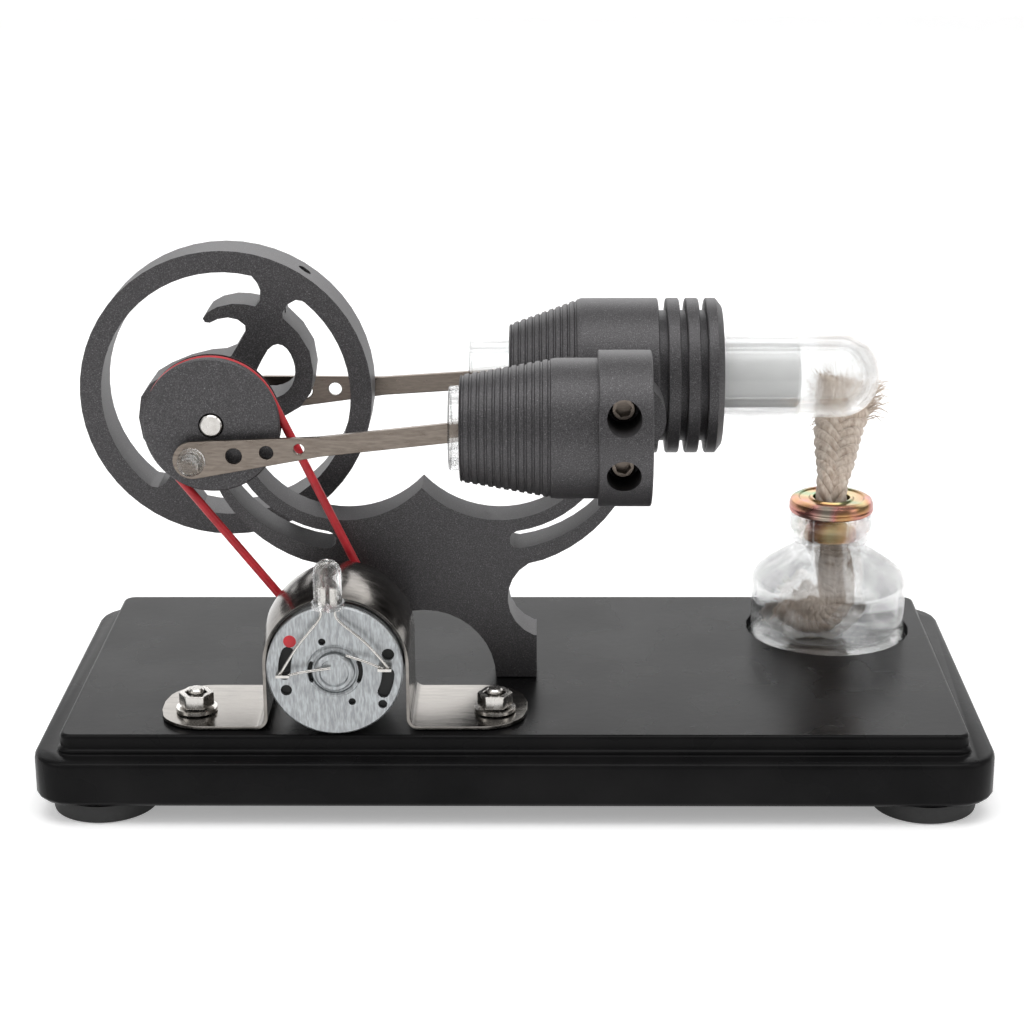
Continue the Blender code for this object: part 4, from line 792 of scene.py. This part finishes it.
def make_strap():
    """A bright band over the motor with round-ended feet, and the nuts that hold it."""
    line = strap_line()
    middle, half = (STRAP_FRONT + STRAP_BACK) / 2, (STRAP_BACK - STRAP_FRONT) / 2
    walked = [0.0]
    for a, b in zip(line, line[1:]):
        walked.append(walked[-1] + math.hypot(b[0] - a[0], b[1] - a[1]))
    made = bmesh.new()
    rows, across = [], 16
    for here, (x, z, crown) in zip(walked, line):
        left = min(here, walked[-1] - here, STRAP_CORNER)
        wide = half - STRAP_CORNER + math.sqrt(
            max(0.0, STRAP_CORNER ** 2 - (STRAP_CORNER - left) ** 2))
        away = Vector((x, 0, z - MOTOR_Z)).normalized()
        row = []
        for j in range(across + 1):
            share = 2 * j / across - 1
            place = Vector((MOTOR_X + x, middle + wide * share, z))
            row.append(made.verts.new(place + away * crown * STRAP_CROWN * (1 - share ** 2)))
        rows.append(row)
    for a, b in zip(rows, rows[1:]):
        for j in range(across):
            made.faces.new((a[j], a[j + 1], b[j + 1], b[j]))
    bmesh.ops.remove_doubles(made, verts=made.verts, dist=1e-6)
    strap = settle(made, "strap_band", 60)
    sheet = strap.modifiers.new("sheet", "SOLIDIFY")
    sheet.thickness, sheet.offset = STRAP_THICKNESS, STRAP_OUTWARD
    rim = strap.modifiers.new("rim", "BEVEL")
    rim.width, rim.segments, rim.limit_method = 0.12 * MM, 2, "ANGLE"
    stands_for(strap, "motor_strap", material=STRAP_STEEL)
    for side in ("left", "right"):
        eased("strap_nut_" + side, 0.12 * MM, 2)


def finish_nodes():
    """Every CAD node that still shows gets its finish."""
    for name, item in NODES.items():
        if name.startswith("motor_terminal"):
            item.data.materials[0] = STEEL          # tinned brass
            continue
        for k in range(max(1, len(item.data.materials))):
            if k < len(item.data.materials):
                item.data.materials[k] = FINISHES[SLOT_OF[name]]
            else:
                item.data.materials.append(FINISHES[SLOT_OF[name]])


# ================================================================ studio
FLOOR_REACH, FLOOR_HALF_WIDTH, FLOOR_CURVE, BACKDROP_RISE = 1.6, 3.0, 0.35, 1.8
PAPER_GLOW = (("paper", 0.33), ("paper_backdrop", 0.70))
WORLD_LIGHT = 0.27
# Each lamp: its place, what it faces, its size in metres and its power in watts.
LIGHTS = [("top", (0.0, -0.12, 0.75), (0, 0, 0.05), (0.9, 0.5), 3.8),
          ("left", (-0.65, -0.35, 0.45), (0, 0, 0.05), (0.35, 0.5), 1.2),
          ("right", (0.65, -0.3, 0.4), (0, 0, 0.05), (0.3, 0.5), 0.9),
          ("behind", (0.1, 0.9, 0.55), (0, 0, 0.05), (1.0, 0.5), 1.8)]


def make_floor():
    """White paper that lies flat and curves up behind the engine."""
    made = bmesh.new()
    line = [(-FLOOR_REACH, 0.0), (FLOOR_REACH - FLOOR_CURVE, 0.0)]
    line += [(FLOOR_REACH - FLOOR_CURVE + FLOOR_CURVE * math.sin(a),
              FLOOR_CURVE - FLOOR_CURVE * math.cos(a))
             for a in (math.radians(90 * k / 12) for k in range(1, 13))]
    line += [(FLOOR_REACH, BACKDROP_RISE)]
    rows = [[made.verts.new((x, y, z)) for x in (-FLOOR_HALF_WIDTH, FLOOR_HALF_WIDTH)]
            for y, z in line]
    for k, (a, b) in enumerate(zip(rows, rows[1:])):
        made.faces.new((a[0], a[1], b[1], b[0])).material_index = min(k, 1)
    floor = settle(made, "floor")
    floor.location.z = -0.05 * MM                 # just under the feet
    for name, glow in PAPER_GLOW:
        paper = varied(name, [(0.3, (0.91, 0.91, 0.91)), (0.7, (0.93, 0.93, 0.93))], 30,
                       (0.7, 0.8))
        shader = paper.node_tree.nodes["Principled BSDF"]
        shader.inputs["Emission Color"].default_value = (1, 1, 1, 1)
        shader.inputs["Emission Strength"].default_value = glow
        floor.data.materials.append(paper)


def make_lights():
    """Soft lamps all round, and a little light from everywhere."""
    world = bpy.data.worlds.new("studio")
    bpy.context.scene.world = world
    world.use_nodes = True
    sky = world.node_tree.nodes["Background"]
    sky.inputs["Color"].default_value = (1, 1, 1, 1)
    sky.inputs["Strength"].default_value = WORLD_LIGHT
    for name, place, aim, size, power in LIGHTS:
        data = bpy.data.lights.new(name, "AREA")
        data.shape = "RECTANGLE"
        data.size, data.size_y = size
        data.energy = power
        lamp = bpy.data.objects.new(name, data)
        bpy.context.scene.collection.objects.link(lamp)
        lamp.location = place
        way = Vector(aim) - Vector(place)
        lamp.rotation_euler = way.to_track_quat("-Z", "Y").to_euler()


CAMERA_AT = (0.005632, -0.423126, 0.182789)
CAMERA_PITCH, CAMERA_YAW, CAMERA_ROLL = 17.984, -0.835, -0.289      # degrees
LENS, SENSOR = 83.70, 36.0


def make_camera():
    """A camera in front of the engine that looks a little down on it."""
    pitch, yaw, roll = [math.radians(a) for a in (CAMERA_PITCH, CAMERA_YAW, CAMERA_ROLL)]
    ahead = Vector((math.sin(yaw) * math.cos(pitch), math.cos(yaw) * math.cos(pitch),
                    -math.sin(pitch)))
    right = Vector((math.cos(yaw), -math.sin(yaw), 0))
    up = right.cross(ahead)
    across = math.cos(roll) * right + math.sin(roll) * up
    above = -math.sin(roll) * right + math.cos(roll) * up
    data = bpy.data.cameras.new("camera")
    data.lens, data.sensor_width = LENS, SENSOR
    data.clip_start, data.clip_end = 0.01, 20
    item = bpy.data.objects.new("camera", data)
    bpy.context.scene.collection.objects.link(item)
    turn = Matrix((across, above, -ahead)).transposed()
    item.matrix_world = Matrix.Translation(CAMERA_AT) @ turn.to_4x4()
    bpy.context.scene.camera = item
    bpy.context.scene.view_settings.view_transform = "Standard"
    bpy.context.scene.view_settings.exposure = 0.0


make_board()
make_power_cylinder()
make_displacer_cylinder()
make_burner()
make_crank()
make_rods()
make_belt()
make_motor()
make_led()
make_strap()
for axis, names in ROUND_NODES.items():
    for name in names:
        round_again(name, axis)
finish_nodes()
make_floor()
make_lights()
make_camera()
